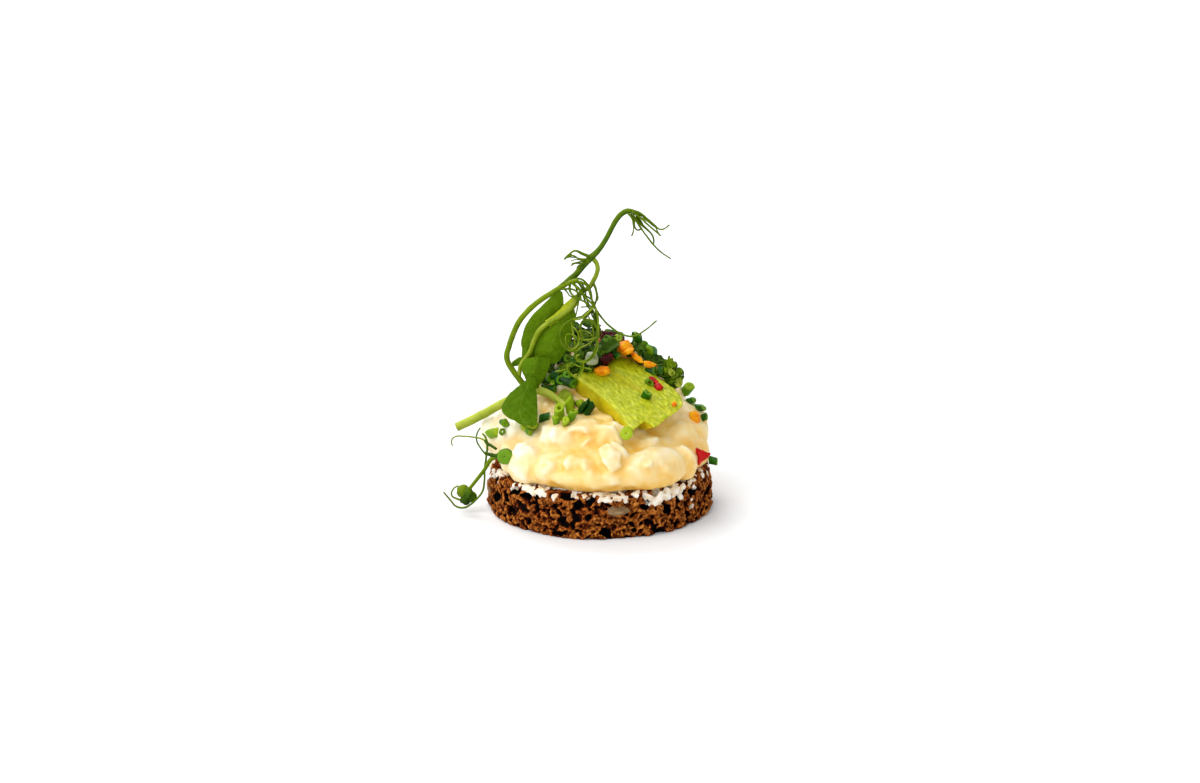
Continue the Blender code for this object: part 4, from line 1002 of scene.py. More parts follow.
bed = slab(0.15, 14.0, SLAB_THICK, 0.0)
move_points(bed.data, undercut(points_of(bed.data)))
bed.data.transform(SLOPE)
modify(salad, "BOOLEAN", operation="DIFFERENCE", object=bed, solver="MANIFOLD")
drop(bed)
bpy.ops.object.select_all(action="DESELECT")
bpy.ops.mesh.primitive_cube_add(size=1.0, location=(0, 0, SALAD_FOOT - 10), scale=(90, 90, 20))
below = named("below")
bpy.ops.object.transform_apply(location=True, scale=True)
modify(salad, "BOOLEAN", operation="DIFFERENCE", object=below, solver="MANIFOLD")
drop(below)
print("salad loose", largest_only(salad))
store(salad.data, "raised", raised(salad.data, 40))
store(salad.data, "fine", raised(salad.data, 6))
thin_out(salad, 180000)
food_skin = surface_of(salad, avocado)
avocado_skin = surface_of(avocado)

# %% [markdown]
# Light goes a little way into egg and dressing before it comes back, so the salad's finish scatters below the
# surface. Its colour follows the relief as painted light: a painted highlight, nearly white, on what stands
# out, and painted shade, warm yellow, in the valleys. Its left side is painted lighter, as if lit from the
# left.

# %% The salad's and the avocado's finishes
dressing, tree, shader = new_finish(
    "creamy_salad", (0.25, 0.0016, (1.0, 0.8, 0.4)),
    Roughness=0.34, Coat_Weight=0.1, Coat_Roughness=0.25
)
# Painted highlight and shade: what stands out is made nearly white, the valleys warm yellow.
relief = add(tree, "Math", {0: attribute(tree, "fine"), 1: 0.8}, operation="MULTIPLY")
level = sum_of(tree, relief, attribute(tree, "raised"), 0.7)
level = sum_of(tree, level, grain(tree, 105, 2.0), 1.5)
parts = parts_of(tree, place_of(tree))
level = sum_of(tree, level, between(tree, parts["Z"], 0.012, 0.02, 1.0, 0.0), -0.5)
# Painted light: the left side of the heap is made lighter, as if lit from the left.
level = sum_of(tree, level, between(tree, parts["X"], -0.026, -0.012, 1.0, 0.0), 0.6)
colour = ramp(
    tree,
    between(tree, level, -0.3, 1.8),
    (0.0, 236, 160, 30),
    (0.3, 247, 198, 96),
    (0.54, 250, 220, 154),
    (0.86, 253, 243, 218),
)
dress(tree, shader, colour, bump(tree, grain(tree, 900, 4.0), 0.0003, 0.35))
hand_over(salad, "salad_heap", dressing, ["salad_mound"])

flesh, tree, shader = new_finish(
    "avocado_flesh", (0.2, 0.0015, (0.7, 1.0, 0.25)),
    Roughness=0.45, Specular_IOR_Level=0.3
)
own = add(
    tree,
    "CombineXYZ",
    {0: attribute(tree, "along"), 1: attribute(tree, "across"), 2: attribute(tree, "through")},
)
run = add(tree, "VectorMath", {0: own, 1: (0.3, 1.0, 0.8)}, operation="MULTIPLY")
flecks = add(tree, "TexNoise", {"Vector": run, "Scale": 46.0, "Detail": 5.0, "Roughness": 0.7})
face_colour = ramp(
    tree,
    flecks,
    (0.32, 130, 146, 4),
    (0.48, 166, 175, 8),
    (0.6, 196, 202, 36),
    (0.74, 234, 234, 104),
)
side_colour = ramp(tree, grain(tree, 240), (0.35, 190, 172, 2), (0.65, 214, 202, 24))
# Painted shade: the face is made darker towards its back end, under the chives and bits.
shade = between(tree, attribute(tree, "along"), 0.05, 0.45)
face_colour = mixed(tree, shade, mixed(tree, 0.22, face_colour, paint(152, 158, 8)), face_colour)
# Paler yellow near the left edge: partly the flesh's own colour, partly a painted glow of light through the
# edge.
edge_yellow_and_painted_glow = between(tree, attribute(tree, "across"), 0.02, 0.16, 0.35, 0.0)
face_colour = mixed(tree, edge_yellow_and_painted_glow, face_colour, paint(218, 218, 70))
colour = mixed(tree, attribute(tree, "side"), face_colour, side_colour)
dress(tree, shader, colour, bump(tree, flecks, 0.0003, 0.3))
hand_over(avocado, "avocado_face", flesh, ["avocado_slice"])

# %% [markdown]
# ## The chives
# Chopped chives are short green tubes with bright, wet cut ends. Dozens lie about, so one tube is modelled
# and copied to each place with its own size and lean, in three kinds: wide ones are nearly solid, narrow ones
# have a small hole or a larger one. A tube is an open cylinder, thickened inwards, with its edges bevelled.
# A number kept at each corner tells the finish where the cut is.

# %% One chive
def chive_pattern(hollow, sides=14):
    unselect()
    bpy.ops.mesh.primitive_cylinder_add(vertices=sides, radius=1.0, depth=1.0, end_fill_type="NOTHING")
    tube = named("chive")
    modify(tube, "SOLIDIFY", thickness=1 - hollow, offset=-1.0)
    modify(tube, "BEVEL", width=0.07, segments=1, limit_method="ANGLE", angle_limit=math.radians(50))
    points = points_of(tube.data)
    out = np.hypot(points[:, 0], points[:, 1])
    store(tube.data, "cut", (out < 0.96).astype(float))
    return tube


CHIVES = (
    # right, up, radius, length, direction, height over the surface, tone from dark to yellow-green
    (-22.5, 11.3, 2.0, 1.4, (-0.1, -1.0, 0.2), 0.9, 0.2),
    (-25.4, 17.3, 1.15, 2.5, (1.0, -0.5, 0.35), 0.6, 0.75),
    (-23.5, 17.8, 0.85, 1.3, (0.2, -1.0, 0.6), 0.6, 0.2),
    (-23.0, 19.4, 1.2, 1.5, (0.3, -1.0, 0.2), 0.7, 0.3),
    (-13.4, 20.6, 1.15, 2.6, (1.0, -0.2, 0.25), 0.6, 0.2),
    (-17.7, 18.0, 1.3, 2.1, (0.2, -1.0, 0.7), 1.3, 0.85),
    (-16.0, 18.0, 1.1, 1.8, (-0.4, -1.0, 0.5), 1.3, 0.9),
    (-17.0, 17.0, 0.9, 1.4, (0.6, -1.0, 0.3), 0.8, 0.55),
    (-9.7, 21.0, 1.25, 4.6, (0.0, -0.35, 1.0), 1.0, 0.78),
    (-7.9, 22.6, 1.25, 5.4, (-0.22, -0.3, 1.0), 1.1, 0.85),
    (-6.6, 20.8, 1.1, 3.6, (0.3, -0.45, 1.0), 0.9, 0.6),
    (-8.5, 19.0, 1.1, 2.2, (0.1, -0.8, 0.6), 1.3, 0.9),
    (-3.7, 22.4, 1.0, 4.6, (0.6, -0.3, 0.9), 1.1, -0.05),
    (-2.7, 21.8, 0.9, 4.2, (0.6, -0.3, 0.9), 1.2, 0.0),
    (-4.6, 22.0, 0.8, 3.8, (0.6, -0.3, 0.9), 1.2, 0.05),
    (-4.8, 23.9, 1.15, 2.4, (0.5, -0.9, 0.5), 0.8, 0.8),
    (-6.3, 29.9, 1.2, 1.6, (0.6, -0.8, 0.2), 1.0, 0.3),
    (-8.1, 30.0, 1.35, 4.2, (1.0, -0.5, -0.25), 0.9, 0.0),
    (-10.6, 31.6, 1.2, 2.8, (0.8, -0.5, 0.4), 0.9, 0.05),
    (-10.9, 29.6, 0.9, 2.2, (-0.4, -0.8, 0.4), 0.6, 0.3),
    (-13.2, 28.9, 0.9, 1.6, (0.4, -0.8, 0.4), 0.6, 0.1),
    (-10.6, 19.6, 0.9, 2.6, (-0.1, -0.5, 1.0), 0.8, 0.7),
    (13.9, 32.2, 1.2, 2.6, (0.8, -0.5, -0.4), 0.9, 0.25),
    (11.0, 37.4, 0.9, 2.0, (0.5, -0.9, 0.1), 1.2, 0.5),
    (-9.9, 30.2, 1.3, 2.2, (0.5, -0.8, 0.3), 0.7, 0.05),
    (-7.8, 31.2, 1.2, 2.4, (-0.3, -1.0, 0.4), 0.9, 0.1),
    (-11.4, 28.2, 1.05, 1.8, (0.9, -0.5, 0.2), 0.6, 0.1),
    (-12.3, 30.4, 1.0, 1.8, (0.2, -0.7, 0.7), 0.6, 0.15),
    (-5.4, 34.8, 1.0, 2.0, (0.9, -0.4, 0.2), 0.7, 0.2),
    (-3.2, 33.6, 1.1, 1.8, (0.9, -0.6, 0.1), 0.6, 0.3),
    (8.5, 39.9, 1.2, 2.7, (0.15, -0.3, 1.0), 1.1, 0.3),
    (10.2, 38.4, 1.1, 2.0, (0.6, -0.9, 0.3), 0.8, 0.25),
    (12.0, 36.4, 1.5, 2.4, (-0.5, -0.8, 0.3), 1.1, 0.3),
    (1.6, 39.0, 1.5, 2.2, (0.4, -0.6, 0.6), 0.8, 0.1),
    (4.2, 39.6, 1.2, 2.0, (-0.6, -0.7, 0.4), 0.8, 0.7),
    (3.4, 41.2, 1.0, 4.2, (1.0, -0.1, -0.25), 0.6, 0.3),
    (3.2, 36.9, 1.0, 2.4, (0.8, -0.4, -0.4), 0.6, 0.15),
    (20.4, 27.6, 1.4, 2.7, (0.5, -0.5, 0.9), 1.2, 0.6),
    (22.0, 24.7, 0.9, 1.7, (1.0, -0.2, 0.3), 0.8, 0.2),
    (24.4, 22.9, 1.15, 2.0, (0.9, -0.6, 0.2), 0.8, 0.2),
    (25.0, 21.0, 0.95, 1.7, (0.8, -0.5, 0.6), 0.8, 0.15),
    (27.2, 10.8, 1.1, 2.2, (0.9, -0.4, -0.1), 0.8, 0.25),
    (12.2, 29.4, 1.15, 1.4, (0.1, -0.9, 0.5), 0.3, 0.25),
    (11.2, 26.0, 1.15, 2.9, (0.35, -0.6, 0.8), 0.5, 0.2),
    (7.3, 18.0, 1.6, 1.6, (-0.1, -1.0, 0.25), 1.3, 0.9),
)


def back_places(surface):
    """Seeded places round the sides and back for the toppings that don't show in front."""
    dice = random.Random(23)
    placed = []
    found = []
    while len(found) < 22:
        place, normal = cast_inward(surface, round_outward(dice, 8, 74, -20, 220), (0, 4, 14))
        if place is None or place.z < 14.8 or place.y < 3:
            continue
        if any((place - other).length < 4.2 for other in placed):
            continue
        placed.append(place)
        lean = Vector([dice.uniform(-1, 1) for _ in range(3)])
        found.append((place, normal, (normal + lean).normalized(), dice.random(), dice.uniform(0.9, 1.3)))
    return found


# %% All the chives
def slanted(dice):
    """Tilts both cut ends, since a knife seldom meets a chive squarely."""
    lean = Matrix()
    lean[2][0] = dice.uniform(-0.22, 0.22)
    lean[2][1] = dice.uniform(-0.22, 0.22)
    return lean


def chive_places():
    """A matrix, a tone and a radius for each chive."""
    dice = random.Random(3)
    made = []
    for right, up, radius, length, direction, over, tone in CHIVES:
        place, normal = hit(food_skin, right, up)
        radii = (radius, radius * (dice.uniform(0.66, 0.95) if radius < 1.45 else 0.95), length)
        turn = facing(direction, dice.uniform(0, 3))
        made.append((stretched(place + normal * over, radii, turn) @ slanted(dice), tone, radius))
    for place, normal, direction, kind, size in back_places(heap_skin):
        if kind < 0.66:
            place, _, _, _ = food_skin.find_nearest(place)
            radii = (size, size * dice.uniform(0.75, 1.0), size * 2.0)
            turn = facing(direction, 0.3)
            made.append((stretched(place + normal * 0.6, radii, turn), dice.uniform(0, 0.8), size))
    return made


chive_rows = chive_places()
wide = [row for row in chive_rows if row[2] > 1.4]
narrow = [row for row in chive_rows if row[2] <= 1.4]
groups = []
for hollow, dents, chosen in ((0.08, 0.12, wide), (0.16, 0.3, narrow[0::2]), (0.4, 0.3, narrow[1::2])):
    pattern = chive_pattern(hollow)
    group = copies(pattern, [row[0] for row in chosen], "chives", [row[1] for row in chosen])
    drop(pattern)
    roll(group.data, ((1.3, dents), (0.7, 0.5 * dents)), 1.0)
    groups.append(group)
chives = join(groups, "chives")
green, tree, shader = new_finish(
    "chive_green", (0.15, 0.0008, (0.5, 1.0, 0.2)),
    Roughness=0.38, Specular_IOR_Level=0.25
)
tone = sum_of(tree, attribute(tree, "tone"), grain(tree, 500), 0.3)
skin = ramp(
    tree,
    between(tree, tone, 0.1, 1.0),
    (0.0, 8, 52, 2),
    (0.35, 38, 100, 4),
    (0.7, 84, 138, 4),
    (1.0, 140, 172, 16),
)
fresh = ramp(tree, between(tree, tone, 0.1, 1.0), (0.0, 66, 124, 4), (1.0, 160, 184, 24))
colour = mixed(tree, attribute(tree, "cut"), skin, fresh)
dress(tree, shader, colour, bump(tree, grain(tree, 2400), 0.0001, 0.4))
hand_over(chives, "chives", green)

# %% [markdown]
# ## The orange and red bits
# Crisp orange bits, bright red flakes and a few dark red ones are scattered on top. Each is a small broken
# form with blunt corners. Each kind has two uneven balls as patterns in front and a third behind, so that
# no two neighbours look the same. A bevel and a subdivision blunt the corners without rounding them away.

# %% Broken bits
NUGGETS = (
    # right, up, half width, half height, half depth, turn in degrees, height over the surface
    (23.2, 21.0, 1.75, 1.9, 1.5, 20, 0.8),
    (6.1, 38.5, 2.4, 1.9, 1.4, 8, 2.0),
    (6.9, 37.4, 1.9, 0.8, 1.2, 22, 2.8),
    (0.5, 32.6, 2.6, 1.5, 1.2, -4, 1.6),
    (9.0, 35.9, 2.5, 0.95, 0.9, -38, 2.0),
    (12.5, 33.9, 2.5, 1.15, 0.9, -42, 2.4),
    (18.2, 24.3, 0.7, 0.8, 0.6, 0, 0.3),
)
RED_FLAKES = (
    (-1.6, 38.5, 1.3, 0.6, 0.5, 30, 2.2),
    (-0.2, 39.6, 0.7, 1.2, 0.5, 10, 2.2),
    (13.2, 30.2, 0.9, 1.9, 0.7, 36, 0.5),
    (14.4, 28.6, 1.2, 1.3, 0.8, 10, 0.5),
)
DARK_FLAKES = (
    (3.0, 41.2, 2.6, 1.6, 1.2, -20, 1.8),
    (0.6, 41.7, 1.9, 1.4, 1.0, 50, 1.8),
    (4.8, 40.4, 1.5, 1.2, 0.9, -30, 1.8),
    (1.8, 35.4, 2.3, 1.5, 1.0, 14, 2.0),
    (0.9, 36.6, 0.9, 0.9, 0.8, 70, 1.2),
    (-7.9, 40.7, 0.8, 0.6, 0.5, 0, 1.6),
    (-6.6, 40.3, 0.7, 0.6, 0.5, 50, 1.6),
    (-4.2, 41.6, 0.9, 0.5, 0.5, 20, 1.6),
)
ONION = ((-2.0, 35.6, 2.3, 2.1, 1.3, 15, 1.9),)


def broken_pattern(seed, amount, rounds=1):
    pattern = chunk_pattern(seed, amount)
    modify(pattern, "BEVEL", width=0.09, segments=2, limit_method="ANGLE", angle_limit=math.radians(20))
    modify(pattern, "SUBSURF", levels=rounds, render_levels=rounds)
    return pattern


def bit_place(right, up, wide, high, thick, degrees, over, pull=0.3, to_eye=False):
    """Lying on the food, with its own turn in the front view, lifted off it or towards the eye."""
    place, normal = hit(food_skin, right, up, pull)
    out = Vector((normal.x, min(normal.y, -0.6), normal.z)).normalized()
    turn = chunk_turn(out, degrees + 180)
    lift = -sight(right, up) if to_eye else normal
    return stretched(place + lift * over, (wide, high, thick), turn)


def bits(rows, name, amount, seed, rounds=1):
    """Copies of two broken forms, one after the other, at the rows' places."""
    made = []
    for half in (0, 1):
        chosen = [bit_place(*row, to_eye=True) for row in rows[half::2]]
        if not chosen:
            continue
        pattern = broken_pattern(seed + half, amount, rounds)
        made.append(copies(pattern, chosen, name))
        drop(pattern)
    return join(made, name) if len(made) > 1 else made[0]


def back_bits(low, high, wide, tall, thick):
    """The seeded bits round the back whose kind lies in this range."""
    found = []
    for step, (place, normal, _, kind, size) in enumerate(back_places(heap_skin)):
        if low <= kind < high:
            place, _, _, _ = food_skin.find_nearest(place)
            turn = chunk_turn(normal, 40 * step)
            found.append(stretched(place + normal * 0.5, (wide * size, tall * size, thick * size), turn))
    return found


def with_back(front, pattern_seed, amount, places, name):
    pattern = broken_pattern(pattern_seed, amount)
    back = copies(pattern, places, name)
    drop(pattern)
    return join([front, back], name)


nuggets = bits(NUGGETS, "orange_bits", 0.2, 40)
nuggets = with_back(nuggets, 44, 0.2, back_bits(0.66, 0.82, 1.5, 1.1, 1.0), "orange_bits")
orange, tree, shader = new_finish(
    "orange_bit", (0.1, 0.0006, (1.0, 0.6, 0.1)),
    Roughness=0.45, Specular_IOR_Level=0.15
)
tone = ramp(
    tree,
    grain(tree, 520, 3.0),
    (0.3, 224, 104, 0),
    (0.5, 242, 150, 0),
    (0.7, 254, 192, 24),
)
dress(tree, shader, tone, bump(tree, grain(tree, 1800), 0.0002, 0.5))
hand_over(nuggets, "orange_bits", orange)

reds = bits(RED_FLAKES, "red_flakes", 0.22, 50)


def wedge():
    """The three-cornered flake at the right edge, its tip to the right."""
    unselect()
    bpy.ops.mesh.primitive_cylinder_add(vertices=3, radius=1.0, depth=1.0)
    pattern = named("wedge")
    modify(pattern, "BEVEL", width=0.16, segments=2)
    modify(pattern, "SUBSURF", levels=2, render_levels=2, subdivision_type="SIMPLE")
    place, normal = hit(food_skin, 24.3, 11.6)
    turn = chunk_turn(Vector((0.2, -1.0, 0.15)).normalized(), -84)
    made = copies(pattern, [stretched(place + normal * 0.7, (2.6, 2.3, 1.2), turn)], "wedge")
    drop(pattern)
    roll(made.data, ((0.9, 0.35),), 3.0)
    return made


reds = join([reds, wedge()], "red_flakes")
reds = with_back(reds, 54, 0.22, back_bits(0.82, 0.91, 1.2, 1.0, 0.7), "red_flakes")
red, tree, shader = new_finish("red_flake", Roughness=0.4, Specular_IOR_Level=0.2)
tone = ramp(tree, grain(tree, 700), (0.35, 134, 4, 4), (0.55, 196, 12, 8), (0.74, 226, 66, 46))
dress(tree, shader, tone, bump(tree, grain(tree, 1600), 0.0002, 0.6))
hand_over(reds, "red_flakes", red)

darks = bits(DARK_FLAKES, "dark_flakes", 0.26, 57, rounds=2)
roll(darks.data, ((0.7, 0.4), (0.3, 0.16)), 2.0)
darks = with_back(darks, 58, 0.26, back_bits(0.91, 1.01, 1.2, 1.0, 0.7), "dark_flakes")
dark, tree, shader = new_finish("dark_flake", Roughness=0.45, Specular_IOR_Level=0.2)
tone = ramp(tree, grain(tree, 800), (0.35, 44, 2, 6), (0.6, 92, 8, 14), (0.78, 140, 40, 36))
dress(tree, shader, tone, bump(tree, grain(tree, 1400), 0.0003, 0.7))
hand_over(darks, "dark_flakes", dark)

onion = bits(ONION, "pale_bit", 0.18, 62)
pale, tree, shader = new_finish("pale_bit", (0.4, 0.002, (0.8, 1.0, 0.7)), Roughness=0.25)
tone = ramp(tree, grain(tree, 500), (0.35, 112, 124, 76), (0.65, 170, 176, 138))
dress(tree, shader, tone, bump(tree, grain(tree, 900), 0.0002, 0.4))
hand_over(onion, "pale_bit", pale)

# %% [markdown]
# Torn herb leaves lie thick over the heap's top, folded and curled. One grid bent to a small folded leaf is
# their pattern. The ones that show are placed one by one, and a seeded layer under them hides the salad, as
# it does on the real one.

# %% Torn herb leaves
LEAF_BITS = (
    # right, up, half width, half height, turn in degrees, height over the surface, tone
    (-2.4, 43.4, 1.8, 1.2, 10, 1.2, 0.05),
    (-5.6, 42.5, 1.7, 1.3, -20, 1.2, 0.0),
    (-7.9, 40.2, 1.6, 1.4, 20, 1.2, 0.05),
    (-3.9, 39.4, 1.9, 1.5, 40, 1.2, 0.15),
    (-7.2, 37.7, 1.9, 1.5, -30, 1.2, 0.2),
    (-9.9, 35.6, 2.2, 1.9, 15, 1.4, 0.3),
    (-11.6, 33.4, 1.8, 1.6, 60, 1.0, 0.1),
    (-6.6, 34.6, 2.0, 1.4, -10, 1.1, 0.3),
    (-5.0, 37.2, 1.8, 1.5, 10, 1.4, 0.25),
    (-5.0, 35.6, 1.4, 1.2, 60, 1.3, 0.2),
    (-9.0, 32.8, 1.8, 1.2, 30, 1.0, 0.35),
    (0.9, 38.6, 1.2, 1.9, -40, 1.5, 0.1),
    (2.4, 37.6, 1.5, 2.5, -48, 1.6, 0.15),
    (4.3, 39.2, 1.3, 0.9, 30, 1.4, 0.62),
    (0.4, 36.4, 0.8, 1.5, -20, 1.2, 0.55),
    (-3.4, 32.4, 1.4, 0.8, 10, 0.9, 0.1),
    (-13.4, 30.8, 1.4, 1.5, 50, 0.8, 0.05),
    (-8.8, 25.2, 1.6, 2.5, -14, 0.9, 0.6),
    (-7.2, 24.2, 1.0, 1.6, 30, 0.9, 0.5),
    (8.4, 39.4, 1.4, 1.9, -14, 1.2, 0.1),
    (9.8, 37.2, 1.2, 1.2, 20, 1.2, 0.2),
    (-0.9, 42.6, 1.4, 1.0, -30, 1.3, 0.1),
    (15.4, 32.4, 1.2, 1.2, 20, 0.8, 0.15),
)


def leaf_bit_pattern():
    unselect()
    bpy.ops.mesh.primitive_grid_add(x_subdivisions=6, y_subdivisions=8, size=2)
    bit = named("leaf_bit")
    points = points_of(bit.data)
    across, along = points[:, 0].copy(), points[:, 1].copy()
    points[:, 0] = across * (0.35 + 0.65 * np.sqrt(np.clip(1 - along**2, 0, 1))) * (1 - 0.2 * along)
    points[:, 2] = 0.4 * np.abs(across) - 0.3 * along**2 + 0.14 * np.sin(along * 5) * across
    move_points(bit.data, points)
    modify(bit, "SUBSURF", levels=1, render_levels=1)
    modify(bit, "SOLIDIFY", thickness=0.14, offset=0.0)
    return bit


def leaf_bit_places():
    """The placed bits and the seeded layer under them, each with its tone."""
    dice = random.Random(17)
    made = []
    for right, up, wide, high, degrees, over, tone in LEAF_BITS:
        place = bit_place(right, up, wide, high, min(wide, high), degrees, over, 0.1)
        made.append((place, tone))
    for _ in range(64):
        round_it = dice.uniform(0, math.tau)
        out = math.sqrt(dice.random())
        right = -3.6 + 8.6 * out * math.cos(round_it)
        up = 37.4 + 5.4 * out * math.sin(round_it) - 0.12 * (right + 3.6)
        if right > -0.5 and up > 39 or avocado_skin.ray_cast(EYE, sight(right, up))[0]:
            continue
        size = dice.uniform(1.1, 1.7)
        high = size * dice.uniform(0.8, 1.2)
        place = bit_place(right, up, size, high, size, dice.uniform(0, 180), dice.uniform(0.2, 0.9))
        made.append((place, dice.uniform(-0.1, 0.25)))
    for step in range(40):
        share = (step + dice.random()) / 40
        right = 7.4 + 7.8 * share
        up = 38.2 - 5.0 * share + dice.uniform(-1.2, 1.3)
        size = dice.uniform(0.8, 1.25)
        high = size * dice.uniform(0.8, 1.3)
        place = bit_place(right, up, size, high, size, dice.uniform(0, 180), dice.uniform(0.2, 0.6))
        made.append((place, dice.uniform(-0.05, 0.4)))
    return made


pattern = leaf_bit_pattern()
bit_rows = leaf_bit_places()
leaf_bits = copies(pattern, [row[0] for row in bit_rows], "herb_bits", [row[1] for row in bit_rows])
drop(pattern)
roll(leaf_bits.data, ((1.2, 0.4), (0.5, 0.12)), 7.0)

# %% [markdown]
# ## The pea shoot
# The shoot leans against the heap on the left: a pale cut stem, an arching stem with its curled tip, a bundle
# of fine tendrils that wind round each other, and thin leaves with pale veins. Stems and tendrils are
# curves: a few knots with a radius each, swept as a round tube and then made a mesh. Leaves start as a grid.

# %% Stems and tendrils
def stem(points, sides, steps):
    """A tapered round stem through knots of right, up, depth and radius, closed at both ends."""
    unselect()
    bpy.ops.curve.primitive_bezier_curve_add()
    helper = named("stem")
    path = helper.data
    path.dimensions = "3D"
    path.bevel_depth = 1.0
    path.bevel_resolution = (sides - 4) // 2
    path.use_fill_caps = True
    path.resolution_u = steps
    spline = path.splines[0]
    spline.bezier_points.add(len(points) - 2)
    for knot, (right, up, depth, radius) in zip(spline.bezier_points, points):
        knot.co = seen(right, up, depth)
        knot.radius = radius
        knot.handle_left_type = "AUTO"
        knot.handle_right_type = "AUTO"
    bpy.ops.object.convert(target="MESH")
    return sealed(bpy.context.object)


SHOOT_STEMS = (
    # tone, then knots of right, up, depth and radius
    (0.85,
     (-35.1, 18.8, 2.0, 1.1), (-31.9, 20.3, 1.6, 1.1), (-28.2, 22.2, 1.0, 1.1), (-23.3, 24.9, 0.0, 1.08),
     (-19.6, 26.6, -0.4, 1.05), (-17.0, 27.7, -0.6, 1.0), (-13.5, 27.3, -1.0, 1.0), (-10.1, 25.3, -2.4, 0.9),
     (-8.3, 23.8, -4.2, 0.75)),
    (0.55,
     (-17.4, 27.4, -0.5, 0.8), (-19.1, 29.6, -0.4, 0.74), (-21.3, 32.6, 0.0, 0.72), (-22.6, 34.7, 0.2, 0.7),
     (-22.9, 36.3, 0.2, 0.72), (-22.3, 38.7, 0.0, 0.7), (-21.3, 41.6, -0.2, 0.7), (-19.9, 44.6, -0.4, 0.7),
     (-17.8, 47.2, -0.7, 0.68), (-15.1, 49.6, -1.0, 0.66), (-11.9, 51.7, -1.2, 0.66),
     (-9.3, 53.3, -1.5, 0.62), (-7.1, 54.4, -1.8, 0.5), (-5.4, 54.9, -2.2, 0.36)),
    (0.35,
     (-10.2, 52.8, -1.0, 0.6), (-7.5, 54.9, 0.6, 0.76), (-5.7, 56.5, 0.9, 0.8), (-3.9, 58.7, 1.0, 0.82),
     (-2.1, 60.5, 1.0, 0.84), (-0.3, 62.3, 1.0, 0.66), (1.4, 64.8, 1.1, 0.62), (2.8, 67.5, 1.2, 0.62),
     (4.2, 69.9, 1.2, 0.66), (5.3, 71.1, 1.2, 0.68), (6.8, 71.8, 1.1, 0.68), (8.2, 71.6, 1.0, 0.56),
     (9.4, 70.7, 0.9, 0.4)),
    (0.7,
     (-19.9, 31.2, -0.2, 0.5), (-19.4, 34.0, -0.6, 0.55), (-17.5, 36.6, -0.6, 0.6), (-16.1, 40.0, -0.5, 0.62),
     (-14.9, 42.4, -0.5, 0.66), (-12.8, 44.2, -0.6, 0.66), (-9.8, 46.0, -0.8, 0.72), (-7.6, 47.6, -0.9, 0.75),
     (-6.1, 49.6, -0.7, 0.72), (-4.7, 51.8, -0.2, 0.6), (-2.6, 53.1, 0.4, 0.56), (-1.7, 54.6, 0.6, 0.54),
     (-0.8, 56.5, 0.8, 0.54), (-0.6, 58.2, 0.9, 0.54), (-1.4, 59.8, 1.0, 0.56), (-2.4, 60.4, 1.0, 0.5)),
    (0.55,
     (-17.0, 27.9, -0.7, 0.6), (-16.4, 29.2, -1.9, 0.44), (-16.5, 31.0, -3.3, 0.3)),
)
